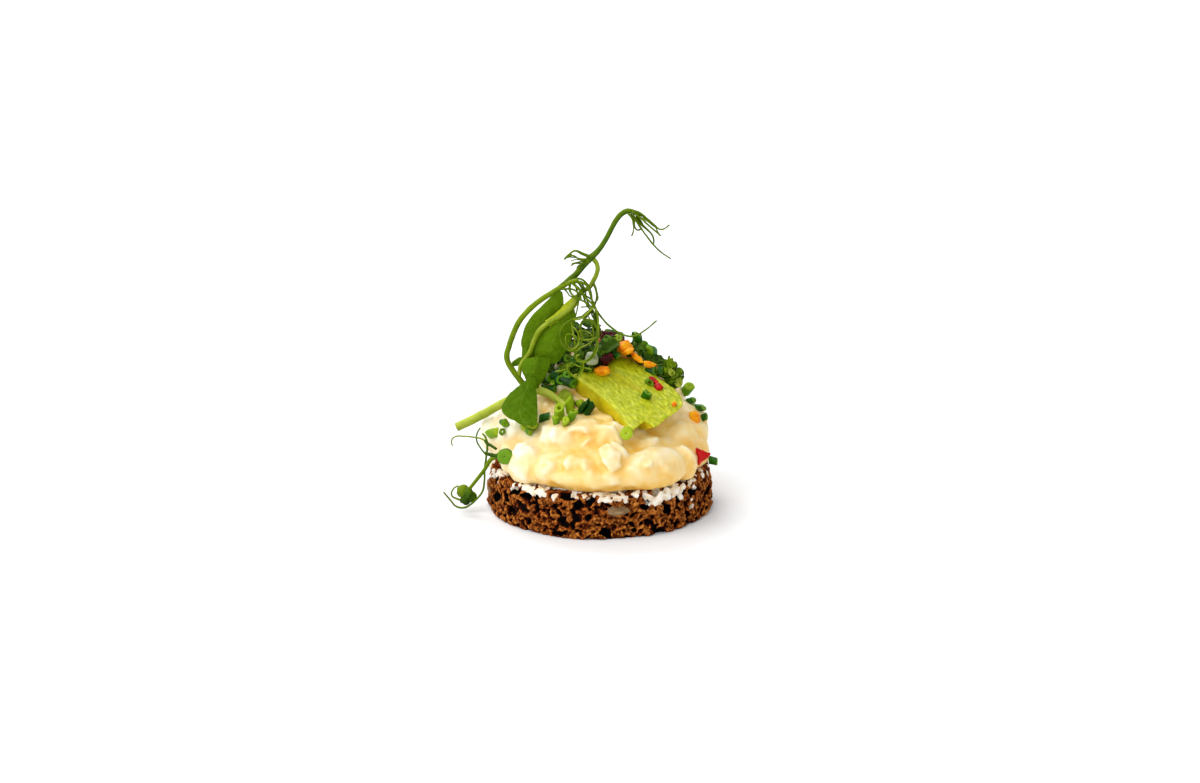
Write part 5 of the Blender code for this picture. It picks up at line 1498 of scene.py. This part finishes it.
SHOOT_TENDRILS = (
    # knots of right, up, depth and radius
    ((8.0, 71.5, 1.0, 0.36), (10.0, 70.9, 0.8, 0.26), (11.8, 69.4, 0.4, 0.23), (13.4, 68.0, 0.0, 0.21),
     (15.0, 67.3, -0.3, 0.2), (16.0, 67.6, -0.5, 0.19), (17.0, 68.4, -0.6, 0.18)),
    ((8.0, 70.9, 1.0, 0.34), (10.0, 67.7, 0.8, 0.25), (11.8, 65.2, 0.6, 0.22), (13.6, 63.0, 0.4, 0.21),
     (15.4, 61.4, 0.4, 0.2), (17.4, 60.1, 0.4, 0.18)),
    ((8.8, 70.4, 1.3, 0.3), (10.0, 68.9, 1.9, 0.24), (11.8, 67.1, 2.2, 0.21), (12.9, 65.8, 2.3, 0.2),
     (13.2, 63.9, 2.2, 0.18)),
    ((8.8, 71.1, 0.8, 0.3), (10.4, 69.8, 0.0, 0.24), (11.8, 68.4, -0.6, 0.22), (13.7, 66.8, -1.0, 0.2),
     (14.9, 65.7, -1.2, 0.18)),
    ((7.0, 71.2, 0.8, 0.34), (7.9, 69.9, 0.3, 0.22), (8.2, 68.5, 0.0, 0.2), (8.2, 67.0, 0.1, 0.19),
     (7.8, 65.7, 0.3, 0.18)),
    ((7.8, 70.9, 1.4, 0.3), (8.4, 69.2, 1.9, 0.21), (8.6, 67.8, 2.2, 0.2), (9.3, 67.1, 2.3, 0.19),
     (10.4, 67.6, 2.2, 0.18)),
    ((9.0, 71.1, 1.2, 0.3), (11.0, 70.3, 1.8, 0.22), (13.0, 68.7, 2.0, 0.2), (14.4, 67.4, 1.8, 0.18)),
    ((-2.2, 60.5, 0.8, 0.34), (-4.4, 61.5, 0.2, 0.24), (-6.1, 62.1, -0.2, 0.21), (-7.8, 61.0, -0.5, 0.19),
     (-8.8, 60.0, -0.6, 0.18)),
    ((-3.0, 59.7, 0.8, 0.32), (-4.9, 59.9, 0.0, 0.24), (-6.9, 60.9, -0.6, 0.2), (-8.0, 60.3, -0.9, 0.18)),
    ((-3.6, 59.0, 0.8, 0.3), (-5.0, 59.0, 0.2, 0.22), (-6.3, 58.9, -0.3, 0.2), (-7.1, 58.4, -0.6, 0.18)),
    ((-3.9, 58.7, 0.8, 0.3), (-5.4, 58.3, 1.4, 0.2), (-5.7, 57.2, 1.8, 0.18)),
    ((-6.4, 54.6, -1.9, 0.4), (-3.3, 53.6, -2.6, 0.3), (-2.4, 51.4, -3.0, 0.28), (-1.5, 48.7, -3.3, 0.27),
     (0.6, 45.4, -3.6, 0.27), (2.7, 43.3, -3.8, 0.25), (5.5, 41.5, -3.8, 0.24), (8.3, 41.1, -3.6, 0.22),
     (10.7, 42.3, -3.2, 0.2), (13.9, 44.9, -2.8, 0.18)),
    ((-6.8, 54.2, -1.9, 0.36), (-5.2, 52.6, -2.8, 0.28), (-3.6, 50.6, -3.4, 0.26), (-1.8, 48.8, -3.7, 0.25),
     (-0.8, 46.6, -4.0, 0.25), (-0.6, 43.6, -4.2, 0.25), (-0.7, 40.6, -4.3, 0.25), (-1.2, 37.6, -4.3, 0.25),
     (-2.2, 35.6, -4.2, 0.25), (-4.2, 34.8, -4.0, 0.24)),
    ((-7.4, 53.9, -1.6, 0.34), (-7.3, 52.0, -2.2, 0.26), (-6.0, 50.6, -2.9, 0.24), (-3.6, 49.4, -3.2, 0.24),
     (-1.9, 47.8, -3.2, 0.23), (-1.2, 45.0, -3.2, 0.23), (0.2, 42.6, -3.4, 0.22)),
    ((-5.6, 54.8, -2.0, 0.34), (-4.4, 52.8, -2.0, 0.26), (-3.9, 50.4, -2.4, 0.24), (-3.0, 48.4, -2.6, 0.24),
     (-1.5, 46.6, -2.6, 0.23), (-0.9, 44.0, -2.6, 0.22), (-0.2, 41.4, -2.8, 0.2)),
    ((-1.7, 54.2, 0.2, 0.34), (-0.9, 52.2, -0.6, 0.25), (-0.9, 50.0, -1.6, 0.24), (-1.7, 48.2, -2.6, 0.24),
     (-3.2, 47.0, -3.2, 0.23), (-4.6, 45.8, -3.8, 0.22)),
    ((-2.0, 48.4, -3.4, 0.26), (-3.4, 46.2, -4.2, 0.25), (-4.9, 45.8, -4.8, 0.25), (-7.2, 45.0, -5.2, 0.25),
     (-9.3, 43.2, -5.4, 0.25), (-9.7, 40.8, -5.4, 0.25), (-8.8, 38.4, -5.2, 0.25), (-7.0, 37.4, -4.9, 0.25),
     (-5.2, 38.4, -4.6, 0.24), (-4.4, 40.4, -4.5, 0.23), (-4.6, 42.8, -4.6, 0.22)),
    ((-2.4, 47.4, -3.6, 0.26), (-4.2, 44.8, -4.2, 0.24), (-4.6, 42.4, -3.9, 0.23), (-2.6, 41.0, -3.7, 0.22),
     (-1.0, 41.4, -3.7, 0.2)),
    ((-4.3, 44.9, -4.4, 0.25), (-1.9, 44.9, -4.9, 0.24), (-0.8, 43.2, -5.2, 0.24), (-0.7, 40.9, -5.4, 0.24),
     (-1.0, 38.4, -5.4, 0.24), (-1.8, 36.6, -5.3, 0.24), (-3.2, 35.2, -5.1, 0.24), (-5.0, 35.2, -4.9, 0.23),
     (-6.2, 36.2, -4.8, 0.22), (-6.0, 37.6, -4.9, 0.2)),
    ((-5.0, 35.3, -4.9, 0.24), (-4.6, 33.6, -4.7, 0.24), (-5.2, 31.8, -4.6, 0.23), (-6.6, 31.2, -4.5, 0.23),
     (-7.9, 32.4, -4.5, 0.22), (-8.2, 34.0, -4.6, 0.21), (-6.6, 34.4, -4.7, 0.2)),
)
# The two bundles of tendrils are read off two close-ups of the photo. A close-up is given by the
# photo pixel at its corner and how many times it is enlarged. Each row has a first and a last depth and a
# radius in mm, then its places in the close-up, across and down in its own pixels.
BASE_PIXEL = (600, 503.5)
LEAF_CLOSE_UP = ((495, 270), 9.22)
TIP_CLOSE_UP = ((560, 200), 13.63)
CURLS = (
    (-5.6, -4.6, 0.22, (905, 350), (850, 400), (790, 450), (700, 465), (622, 530), (602, 610),
     (628, 690), (692, 735), (758, 702), (776, 640), (752, 560), (716, 520)),
    (-5.2, -5.0, 0.23, (925, 360), (948, 430), (952, 540), (950, 650), (930, 760), (874, 828),
     (806, 850), (762, 828), (752, 796), (780, 780)),
    (-5.0, -4.4, 0.22, (816, 846), (806, 930), (762, 988), (704, 962), (668, 892), (694, 868),
     (790, 894), (892, 918)),
    (-4.2, -4.9, 0.21, (812, 440), (880, 470), (932, 528), (944, 600), (900, 650), (846, 690),
     (770, 730), (740, 800), (770, 850)),
    (-4.4, -4.2, 0.19, (700, 470), (716, 560), (734, 650), (742, 740), (736, 820)),
    (-4.8, -4.4, 0.18, (770, 566), (820, 560), (880, 588), (920, 640)),
    (-4.6, -4.9, 0.18, (762, 576), (790, 636), (856, 642), (930, 622)),
    (-4.0, -4.5, 0.18, (800, 470), (780, 540), (800, 610), (850, 650), (900, 632)),
    (-4.3, -4.3, 0.18, (690, 590), (660, 600), (650, 650), (680, 712), (734, 716), (764, 670),
     (740, 610), (700, 592)),
    (-4.3, -4.6, 0.19, (556, 936), (640, 920), (690, 882), (716, 850)),
    (-3.8, -4.2, 0.18, (850, 410), (880, 470), (905, 560), (900, 640), (870, 700)),
)
ARCH_BUNDLE = (
    (-1.6, -3.2, 0.26, (600, 156), (650, 112), (736, 140), (800, 200), (850, 268), (920, 332)),
    (-2.0, -3.4, 0.24, (610, 176), (720, 180), (780, 220), (858, 250), (918, 300)),
    (-2.2, -2.8, 0.2, (640, 176), (662, 200), (694, 240), (756, 250), (800, 268)),
    (-1.6, -2.6, 0.22, (730, 110), (758, 200), (770, 280), (758, 360), (738, 440)),
    (-1.8, -3.0, 0.22, (790, 100), (830, 190), (842, 262), (876, 336)),
    (-1.0, -2.8, 0.22, (896, 120), (938, 200), (942, 270), (900, 336)),
    (-1.4, -3.4, 0.27, (700, 96), (780, 80), (850, 130), (886, 210), (898, 290), (930, 350)),
    (-3.2, -3.0, 0.19, (920, 330), (858, 338), (790, 342)),
    (-3.2, -3.0, 0.2, (922, 336), (930, 420), (958, 520), (986, 600)),
    (-3.1, -3.6, 0.2, (900, 340), (860, 420), (812, 452)),
    (-3.0, -3.4, 0.19, (880, 350), (900, 430), (946, 500), (960, 560)),
    (-2.6, -3.0, 0.18, (930, 200), (950, 262), (930, 300), (918, 340)),
)
TIP_BUNDLE = (
    (0.6, -0.8, 0.24, (1080, 170), (1150, 220), (1230, 300), (1300, 370), (1330, 430), (1372, 492)),
    (1.6, 2.4, 0.23, (1030, 230), (1100, 330), (1180, 400), (1250, 470), (1282, 560), (1275, 600)),
    (1.0, 0.4, 0.18, (1150, 300), (1220, 360), (1312, 424)),
    (1.6, 2.2, 0.19, (1020, 250), (1018, 370), (1050, 406), (1092, 398)),
    (0.4, -0.4, 0.24, (980, 150), (1080, 230), (1150, 260), (1222, 306)),
    (1.2, 2.0, 0.26, (950, 150), (1040, 200), (1090, 270), (1132, 342)),
    (0.8, 1.2, 0.22, (1000, 200), (1060, 290), (1130, 350), (1186, 396)),
    (1.4, 1.0, 0.24, (960, 190), (1020, 250), (1060, 320), (1084, 372)),
    (1.2, 0.6, 0.22, (1000, 140), (1100, 180), (1190, 262), (1250, 312)),
    (0.2, -0.8, 0.22, (400, 782), (300, 740), (204, 696), (130, 742), (60, 812)),
    (0.6, -0.2, 0.2, (390, 804), (280, 800), (180, 760), (140, 736)),
    (0.4, 0.0, 0.19, (330, 830), (230, 790), (132, 776)),
    (0.2, 0.6, 0.18, (330, 822), (200, 815), (150, 832)),
    (0.0, -0.4, 0.2, (330, 826), (230, 850), (160, 866)),
    (-0.2, -0.6, 0.22, (340, 850), (262, 890), (235, 932)),
    (0.4, 0.8, 0.18, (350, 870), (292, 896), (268, 924)),
)


def off_close_up(close_up, across, down):
    """The mm right of and above the base of a place in a close-up of the photo."""
    (left, top), enlarged = close_up
    right = (left + across / enlarged - BASE_PIXEL[0]) / PIXELS_PER_MM
    up = (BASE_PIXEL[1] - top - down / enlarged) / PIXELS_PER_MM
    return right, up


def tendril(close_up, first, last, radius, *places, sway=0.0):
    """Knots that taper by a quarter and change depth evenly, swaying to and fro on the way."""
    knots = []
    for step, (across, down) in enumerate(places):
        share = step / (len(places) - 1)
        right, up = off_close_up(close_up, across, down)
        depth = first + (last - first) * share + sway * (1.25 if step % 2 else -0.75)
        knots.append((right, up, depth, radius * (1 - 0.25 * share)))
    return knots


def tinted(obj, tone):
    store(obj.data, "tone", np.full(len(obj.data.vertices), tone))
    return obj


shoot_stems = [tinted(stem(row[1:], 14, 6), row[0]) for row in SHOOT_STEMS]
shoot_stems += [tinted(stem(row, 8, 6), 0.42) for row in SHOOT_TENDRILS]
shoot_stems += [tinted(stem(tendril(LEAF_CLOSE_UP, *row, sway=0.2), 8, 6), 0.66) for row in CURLS]
shoot_stems += [tinted(stem(tendril(LEAF_CLOSE_UP, *row, sway=0.2), 8, 6), 0.36) for row in ARCH_BUNDLE]
shoot_stems += [tinted(stem(tendril(TIP_CLOSE_UP, *row), 8, 5), 0.4) for row in TIP_BUNDLE]
shoot = join(shoot_stems, "pea_stems")
roll(shoot.data, ((1.6, 0.06),), 3.0)
print("pea stems", len(shoot.data.vertices), "corners")


def green_finish(name):
    """The stems' finish: green by tone and fine noise, and painted lighter on faces that look up."""
    scatter = (0.15, 0.0005, (0.8, 1.0, 0.3))
    made, tree, shader = new_finish(name, scatter, Roughness=0.5, Specular_IOR_Level=0.1)
    tone = sum_of(tree, attribute(tree, "tone"), grain(tree, 420, 4.0), 0.4)
    # Painted light: faces that look up are made lighter.
    painted_light_from_above = parts_of(tree, tree.nodes.new("ShaderNodeNewGeometry").outputs["Normal"])["Z"]
    tone = sum_of(tree, tone, painted_light_from_above, 0.16)
    colour = ramp(
        tree,
        between(tree, tone, 0.15, 1.3),
        (0.0, 16, 40, 0),
        (0.3, 62, 92, 0),
        (0.6, 112, 134, 12),
        (1.0, 196, 204, 84),
    )
    dress(tree, shader, colour, bump(tree, grain(tree, 2200), 0.0001, 0.4))
    return made


hand_over(shoot, "pea_stems", green_finish("stem_green"), ["pea_shoot"])
hand_over(leaf_bits, "herb_bits", green_finish("torn_green"))

# %% [markdown]
# ## The leaves
# A pea leaf is thin, cupped and waxy, with a pale midrib and veins that fork off it towards the edge. Each is
# given as rows of left edge, midrib and right edge. A grid takes the rows' places, subdivision bends it
# smoothly, and a last modifier gives it thickness. Its own UV map runs across and along, so the veins follow
# the leaf however it is bent.

# %% The leaves' form
SHOOT_LEAVES = (
    # tone, then rows of left edge, midrib and right edge
    (0.45,
     ((-17.0, 31.0, -3.2), (-16.5, 31.2, -3.2), (-15.9, 31.0, -3.1)),
     ((-20.4, 28.6, -6.3), (-18.2, 28.2, -6.8), (-15.7, 28.0, -5.8)),
     ((-23.6, 25.6, -9.0), (-19.6, 24.9, -10.0), (-15.4, 24.6, -8.8)),
     ((-24.5, 22.5, -11.4), (-20.0, 21.9, -12.6), (-15.3, 21.6, -11.4)),
     ((-22.6, 20.9, -13.0), (-19.0, 20.2, -14.2), (-15.4, 20.2, -13.4)),
     ((-19.6, 19.8, -14.2), (-17.8, 18.9, -14.9), (-15.7, 19.3, -14.4))),
    (0.48,
     ((-16.9, 28.2, -1.1), (-16.3, 27.8, -1.2), (-15.5, 27.8, -1.1)),
     ((-18.7, 31.2, -1.8), (-16.4, 31.6, -3.8), (-13.7, 30.8, -1.9)),
     ((-19.7, 33.8, -1.9), (-16.5, 33.9, -4.2), (-12.4, 33.4, -2.2)),
     ((-18.2, 35.6, -1.8), (-15.6, 36.0, -3.2), (-12.0, 35.6, -2.2))),
    (0.56,
     ((-9.0, 47.6, -0.4), (-7.6, 47.8, -0.8), (-6.2, 47.6, -0.4)),
     ((-11.8, 45.0, 0.4), (-9.2, 44.3, -1.2), (-6.0, 44.0, 0.8)),
     ((-14.8, 41.9, 0.5), (-11.1, 41.1, -1.7), (-7.2, 40.6, 1.0)),
     ((-16.3, 38.4, 0.2), (-12.5, 37.6, -1.5), (-8.3, 36.9, 0.9)),
     ((-16.0, 35.2, -0.6), (-13.4, 34.3, -0.9), (-10.8, 34.4, 0.2))),
    (0.58,
     ((-10.8, 52.3, -0.9), (-10.0, 52.6, -1.0), (-9.2, 51.9, -0.9)),
     ((-12.8, 49.8, 2.0), (-11.0, 48.5, 1.0), (-8.6, 47.2, 1.6)),
     ((-16.2, 47.0, 2.6), (-14.0, 45.6, 1.3), (-10.6, 43.8, 1.8)),
     ((-18.9, 43.0, 2.6), (-16.6, 41.9, 1.1), (-13.2, 40.0, 1.6)),
     ((-19.4, 39.2, 2.2), (-17.7, 38.4, 0.9), (-14.8, 36.8, 1.0)),
     ((-19.0, 35.6, 1.4), (-18.0, 35.2, 0.4), (-16.2, 35.0, 0.2))),
    (0.95,
     ((-5.8, 51.3, -0.5), (-5.2, 51.2, -0.8), (-4.5, 50.8, -0.5)),
     ((-9.0, 49.0, -0.2), (-7.4, 48.4, -1.4), (-5.9, 47.9, -0.3)),
     ((-10.4, 46.7, -0.2), (-9.4, 46.2, -1.4), (-8.4, 45.7, -0.3)),
     ((-13.5, 44.9, 0.1), (-12.9, 44.3, -1.1), (-12.3, 43.7, 0.0))),
    (0.5,
     ((-18.6, 36.0, 1.0), (-18.4, 35.4, 0.8), (-18.2, 34.8, 0.6)),
     ((-20.0, 36.0, 1.8), (-20.0, 35.0, 1.2), (-19.8, 33.8, 1.2)),
     ((-21.6, 34.6, 2.0), (-21.6, 34.2, 1.8), (-21.4, 33.6, 1.8))),
)


def leaf(tone, rows, thick=0.28):
    """A grid whose corners take the rows' places, bent smooth and given a thickness."""
    unselect()
    bpy.ops.mesh.primitive_grid_add(x_subdivisions=2, y_subdivisions=len(rows) - 1, size=1, calc_uvs=True)
    sheet = named("leaf")
    for vert in sheet.data.vertices:
        across = round((vert.co.x + 0.5) * 2)
        along = round((vert.co.y + 0.5) * (len(rows) - 1))
        vert.co = seen(*rows[along][across])
    modify(sheet, "SUBSURF", levels=4, render_levels=4, boundary_smooth="PRESERVE_CORNERS")
    roll(sheet.data, ((1.9, 0.34), (0.8, 0.12)), 5.0)
    modify(sheet, "SOLIDIFY", thickness=thick, offset=0.0)
    return tinted(sheet, tone)


leaves = sealed(join([leaf(row[0], row[1:]) for row in SHOOT_LEAVES], "pea_leaves"), merge=0)

# %% The leaves' finish
def leaf_finish():
    made, tree, shader = new_finish(
        "leaf_green", (0.15, 0.0005, (0.7, 1.0, 0.15)),
        Roughness=0.6, Specular_IOR_Level=0.06
    )
    parts = parts_of(tree, tree.nodes.new("ShaderNodeTexCoord").outputs["UV"])
    across = add(tree, "Math", {0: parts["X"], 1: 0.5}, operation="SUBTRACT")
    off = add(tree, "Math", {0: across}, operation="ABSOLUTE")
    midrib = between(tree, off, 0.0, 0.022, 0.7, 0.0)
    slant = sum_of(tree, parts["Y"], off, -0.55)
    wobble = sum_of(tree, slant, grain(tree, 140), 0.06)
    ripple = add(tree, "Math", {0: wobble, 1: 44.0}, operation="MULTIPLY")
    wave = add(tree, "Math", {0: ripple}, operation="SINE")
    veins = between(tree, wave, 0.88, 1.0, 0.0, 0.35)
    ribs = add(tree, "Math", {0: midrib, 1: veins}, operation="MAXIMUM")
    tone = sum_of(tree, attribute(tree, "tone"), grain(tree, 190, 4.0), 0.3)
    blade = ramp(
        tree,
        between(tree, tone, 0.15, 1.15),
        (0.0, 30, 62, 0),
        (0.35, 64, 98, 2),
        (0.65, 96, 128, 4),
        (1.0, 184, 194, 44),
    )
    rib = mixed(tree, 0.3, blade, paint(160, 176, 70))
    height = sum_of(tree, grain(tree, 900, 4.0), ribs, -0.7)
    dress(tree, shader, mixed(tree, ribs, blade, rib), bump(tree, height, 0.0002, 0.5))
    return made


hand_over(leaves, "pea_leaves", leaf_finish(), ["pea_shoot"])

# %% [markdown]
# ## The sprig on the left and the curly sprig on the right
# A thin sprig hangs down the left side to a half open bud near the table, and a frilly one stands behind the
# avocado's right edge. The first is made as the shoot is. The second is a few thin stems crowded with discs,
# whose rims wave up and down, and with small folded leaves.

# %% The hanging sprig
SPRIG_STEMS = (
    ((-24.9, 11.9, -9.2, 0.6), (-26.8, 10.8, -8.6, 0.55), (-28.3, 8.4, -7.8, 0.48),
     (-29.9, 6.3, -7.2, 0.46), (-31.6, 4.2, -6.6, 0.44), (-33.0, 2.6, -6.2, 0.42)),
    ((-28.9, 17.2, -7.6, 0.2), (-28.2, 16.4, -8.0, 0.26), (-27.7, 14.6, -8.3, 0.28),
     (-27.9, 11.7, -8.2, 0.27), (-28.3, 8.6, -7.8, 0.26), (-28.4, 5.3, -7.9, 0.25),
     (-28.9, 2.9, -7.8, 0.25), (-30.5, 0.9, -7.6, 0.25), (-31.9, -0.3, -7.4, 0.25),
     (-33.3, -1.0, -7.4, 0.25), (-35.3, -0.7, -7.3, 0.24), (-36.8, 0.9, -7.2, 0.22),
     (-38.4, 2.8, -7.0, 0.2)),
    ((-27.8, 15.2, -8.2, 0.24), (-29.1, 15.9, -7.8, 0.21), (-30.5, 16.2, -7.2, 0.2),
     (-33.3, 16.5, -6.6, 0.19), (-35.8, 16.3, -6.0, 0.18), (-36.5, 15.1, -5.7, 0.17),
     (-36.2, 14.2, -5.6, 0.16)),
    ((-27.9, 11.9, -8.2, 0.25), (-29.3, 13.6, -7.4, 0.22), (-30.3, 15.6, -6.8, 0.21),
     (-30.1, 17.4, -6.4, 0.2), (-29.4, 18.6, -6.2, 0.18)),
    ((-28.2, 15.6, -8.1, 0.44), (-27.7, 14.8, -8.4, 0.42), (-26.7, 14.2, -9.3, 0.36),
     (-25.5, 13.4, -10.6, 0.34)),
    ((-28.3, 12.5, -8.0, 0.3), (-27.0, 12.0, -8.6, 0.48), (-24.8, 11.6, -9.6, 0.5)),
    ((-33.2, 0.6, -6.4, 0.3), (-35.2, 1.2, -6.0, 0.26), (-36.4, 2.0, -5.6, 0.22), (-36.0, 3.6, -5.2, 0.2),
     (-34.8, 4.4, -5.2, 0.18)),
)
BUD_LOBES = (
    # right, up, depth, half width, half depth, half height and tone; the top lobe has the lightest tone and
    # the lowest the darkest, as painted light and shade
    (-33.6, 3.0, -6.0, 1.6, 1.3, 1.65, 0.5),
    (-31.6, 1.6, -6.2, 1.35, 1.2, 1.4, 0.3),
    (-33.0, 0.9, -6.4, 1.4, 1.2, 1.2, 0.12),
    (-32.3, 2.5, -6.9, 1.2, 1.1, 1.5, 0.3),
)
SPRIG_TONES = (0.55, 0.42, 0.62, 0.4, 0.15, 0.15, 0.5)
sprig_parts = [tinted(stem(row, 10, 6), tone) for row, tone in zip(SPRIG_STEMS, SPRIG_TONES)]
ball = unit_ball(3)
lobe_places = [stretched(seen(*row[:3]), row[3:6]) for row in BUD_LOBES]
lobes = copies(ball, lobe_places, "lobes", [row[6] for row in BUD_LOBES])
drop(ball)
roll(lobes.data, ((0.9, 0.3), (0.4, 0.1)), 8.0)
side_sprig = join(sprig_parts + [lobes], "hanging_sprig")
hand_over(side_sprig, "hanging_sprig", green_finish("sprig_green"), ["side_sprig"])

# %% The curly sprig
CURLY_STEMS = (
    ((17.3, 28.9, 4.2, 0.5), (17.2, 30.6, 4.0, 0.45), (17.0, 33.0, 3.8, 0.35)),
    ((17.2, 30.4, 3.9, 0.3), (15.4, 31.0, 3.2, 0.22), (14.0, 32.4, 2.8, 0.22), (13.6, 33.4, 2.8, 0.2),
     (14.8, 34.1, 2.9, 0.2), (16.2, 33.6, 3.2, 0.2), (16.9, 32.6, 3.5, 0.22)),
    ((17.4, 30.2, 4.0, 0.3), (19.2, 30.0, 4.0, 0.22), (20.3, 31.2, 4.0, 0.2), (20.3, 32.6, 4.0, 0.2),
     (19.2, 33.4, 4.0, 0.2)),
)
CURLY_FRILLS = (
    # right, up, depth, half width, half depth, half height, turn in degrees and tone
    (16.9, 33.9, 3.8, 1.0, 0.6, 1.9, 6, 0.36),
    (17.9, 33.2, 4.0, 0.9, 0.6, 1.9, -14, 0.5),
    (16.0, 31.0, 3.7, 1.4, 0.8, 1.0, 30, 0.2),
    (17.4, 30.6, 3.4, 1.3, 0.9, 1.4, -20, 0.3),
    (18.9, 31.8, 3.9, 1.2, 0.7, 1.2, 40, 0.45),
    (19.6, 30.6, 4.1, 1.0, 0.7, 1.3, -30, 0.3),
    (18.6, 29.6, 4.2, 1.3, 0.8, 0.9, 10, 0.25),
    (16.6, 32.2, 4.2, 0.9, 0.7, 1.2, -8, 0.4),
)


def curly_leaf_rows():
    """Small leaves crowded round the stem: right, up, depth, half width, half height, turn and tone."""
    dice = random.Random(12)
    rows = [(17.1, 34.4, 3.2, 0.75, 1.3, 4, 0.5)]
    for _ in range(26):
        up = dice.uniform(29.2, 34.4)
        reach = 0.8 if up > 33 else 2.7 - 0.45 * abs(up - 31.2)
        right = 17.6 + reach * dice.uniform(-1.0, 1.0)
        size = dice.uniform(0.6, 1.0)
        depth = dice.uniform(2.6, 4.2)
        turn = dice.uniform(-60, 60)
        rows.append((right, up, depth, size, size * 1.25, turn, 0.1 + 0.7 * dice.random()))
    return rows


def frill_pattern():
    """A disc of rings whose rim waves up and down, given a thickness."""
    unselect()
    bpy.ops.mesh.primitive_circle_add(vertices=28, radius=1.0, fill_type="TRIFAN")
    disc = named("frill")
    bpy.ops.object.mode_set(mode="EDIT")
    bpy.ops.mesh.select_all(action="SELECT")
    bpy.ops.mesh.subdivide(number_cuts=2)
    bpy.ops.object.mode_set(mode="OBJECT")
    points = points_of(disc.data)
    angle = np.arctan2(points[:, 1], points[:, 0])
    out = np.hypot(points[:, 0], points[:, 1])
    points[:, 2] = out**2 * (0.34 * np.sin(angle * 3) + 0.16 * np.sin(angle * 7 + 1))
    points[:, :2] *= (1 + 0.18 * out * np.sin(angle * 7 + 2))[:, None]
    move_points(disc.data, points)
    modify(disc, "SOLIDIFY", thickness=0.16, offset=0.0)
    return disc


pattern = frill_pattern()
frill_places = []
for index, (right, up, depth, wide, deep, high, turn, _) in enumerate(CURLY_FRILLS):
    lean = math.radians(70 + 50 * index)
    spin = Matrix.Rotation(math.radians(turn), 4, "Y") @ Matrix.Rotation(lean, 4, "X")
    frill_places.append(stretched(seen(right, up, depth), (wide * 1.1, high * 1.1, deep * 1.5), spin))
own_leaf = leaf_bit_pattern()
leaf_places = []
curly_rows = curly_leaf_rows()
for right, up, depth, wide, high, turn, _ in curly_rows:
    spin = Matrix.Rotation(math.radians(-turn), 4, "Y") @ Matrix.Rotation(math.radians(80), 4, "X")
    leaf_places.append(stretched(seen(right, up, depth), (wide, high, wide), spin))
curly_leaves = copies(own_leaf, leaf_places, "curly_leaves", [row[-1] for row in curly_rows])
drop(own_leaf)
frills = copies(pattern, frill_places, "frills", [row[-1] for row in CURLY_FRILLS])
drop(pattern)
curly_parts = [tinted(stem(row, 8, 6), 0.2) for row in CURLY_STEMS]
curly = join(curly_parts + [frills, curly_leaves], "curly_herb")
hand_over(curly, "curly_herb", green_finish("herb_green"), ["curly_sprig"])

# %% [markdown]
# ## Floor and light
# The floor is a plain, nearly white sheet, far larger than the view. The light is soft from everywhere. One
# wide lamp stands high on the left towards the eye, and a second one behind lights the tops of leaves and
# salad, so that shadows are faint and close to the food. Colours are shown as they are, without a film look.

# %% Floor, lamps and surroundings
bpy.ops.object.select_all(action="DESELECT")
bpy.ops.mesh.primitive_plane_add(size=8.0, location=(0, 0, 0))
floor = named("pale_floor")
sheet, tree, shader = new_finish("pale_floor", Roughness=0.9, Specular_IOR_Level=0.1)
cloud = ramp(tree, grain(tree, 1.2, 2.0), (0.35, 243, 244, 245), (0.65, 247, 247, 248))
tree.links.new(cloud, shader.inputs["Base Color"])
floor.data.materials.append(sheet)


def soft_lamp(name, place, size, power):
    """A square lamp that looks at the middle of the food."""
    unselect()
    place = Vector(place)
    turn = (place - Vector((0, 0, 0.03))).to_track_quat("Z", "Y").to_euler()
    bpy.ops.object.light_add(type="AREA", location=place, rotation=turn)
    lamp = bpy.context.object
    lamp.name = name
    lamp.data.shape = "SQUARE"
    lamp.data.size = size
    lamp.data.energy = power


soft_lamp("key_lamp", (-0.62, -0.46, 0.92), 1.25, 11)
soft_lamp("back_lamp", (-0.4, 0.9, 0.95), 0.8, 9)
world = bpy.data.worlds.new("soft_surroundings")
world.use_nodes = True
world.node_tree.nodes["Background"].inputs[0].default_value = (1.0, 1.0, 1.0, 1.0)
world.node_tree.nodes["Background"].inputs[1].default_value = 0.64
bpy.context.scene.world = world
bpy.context.scene.view_settings.view_transform = "Standard"
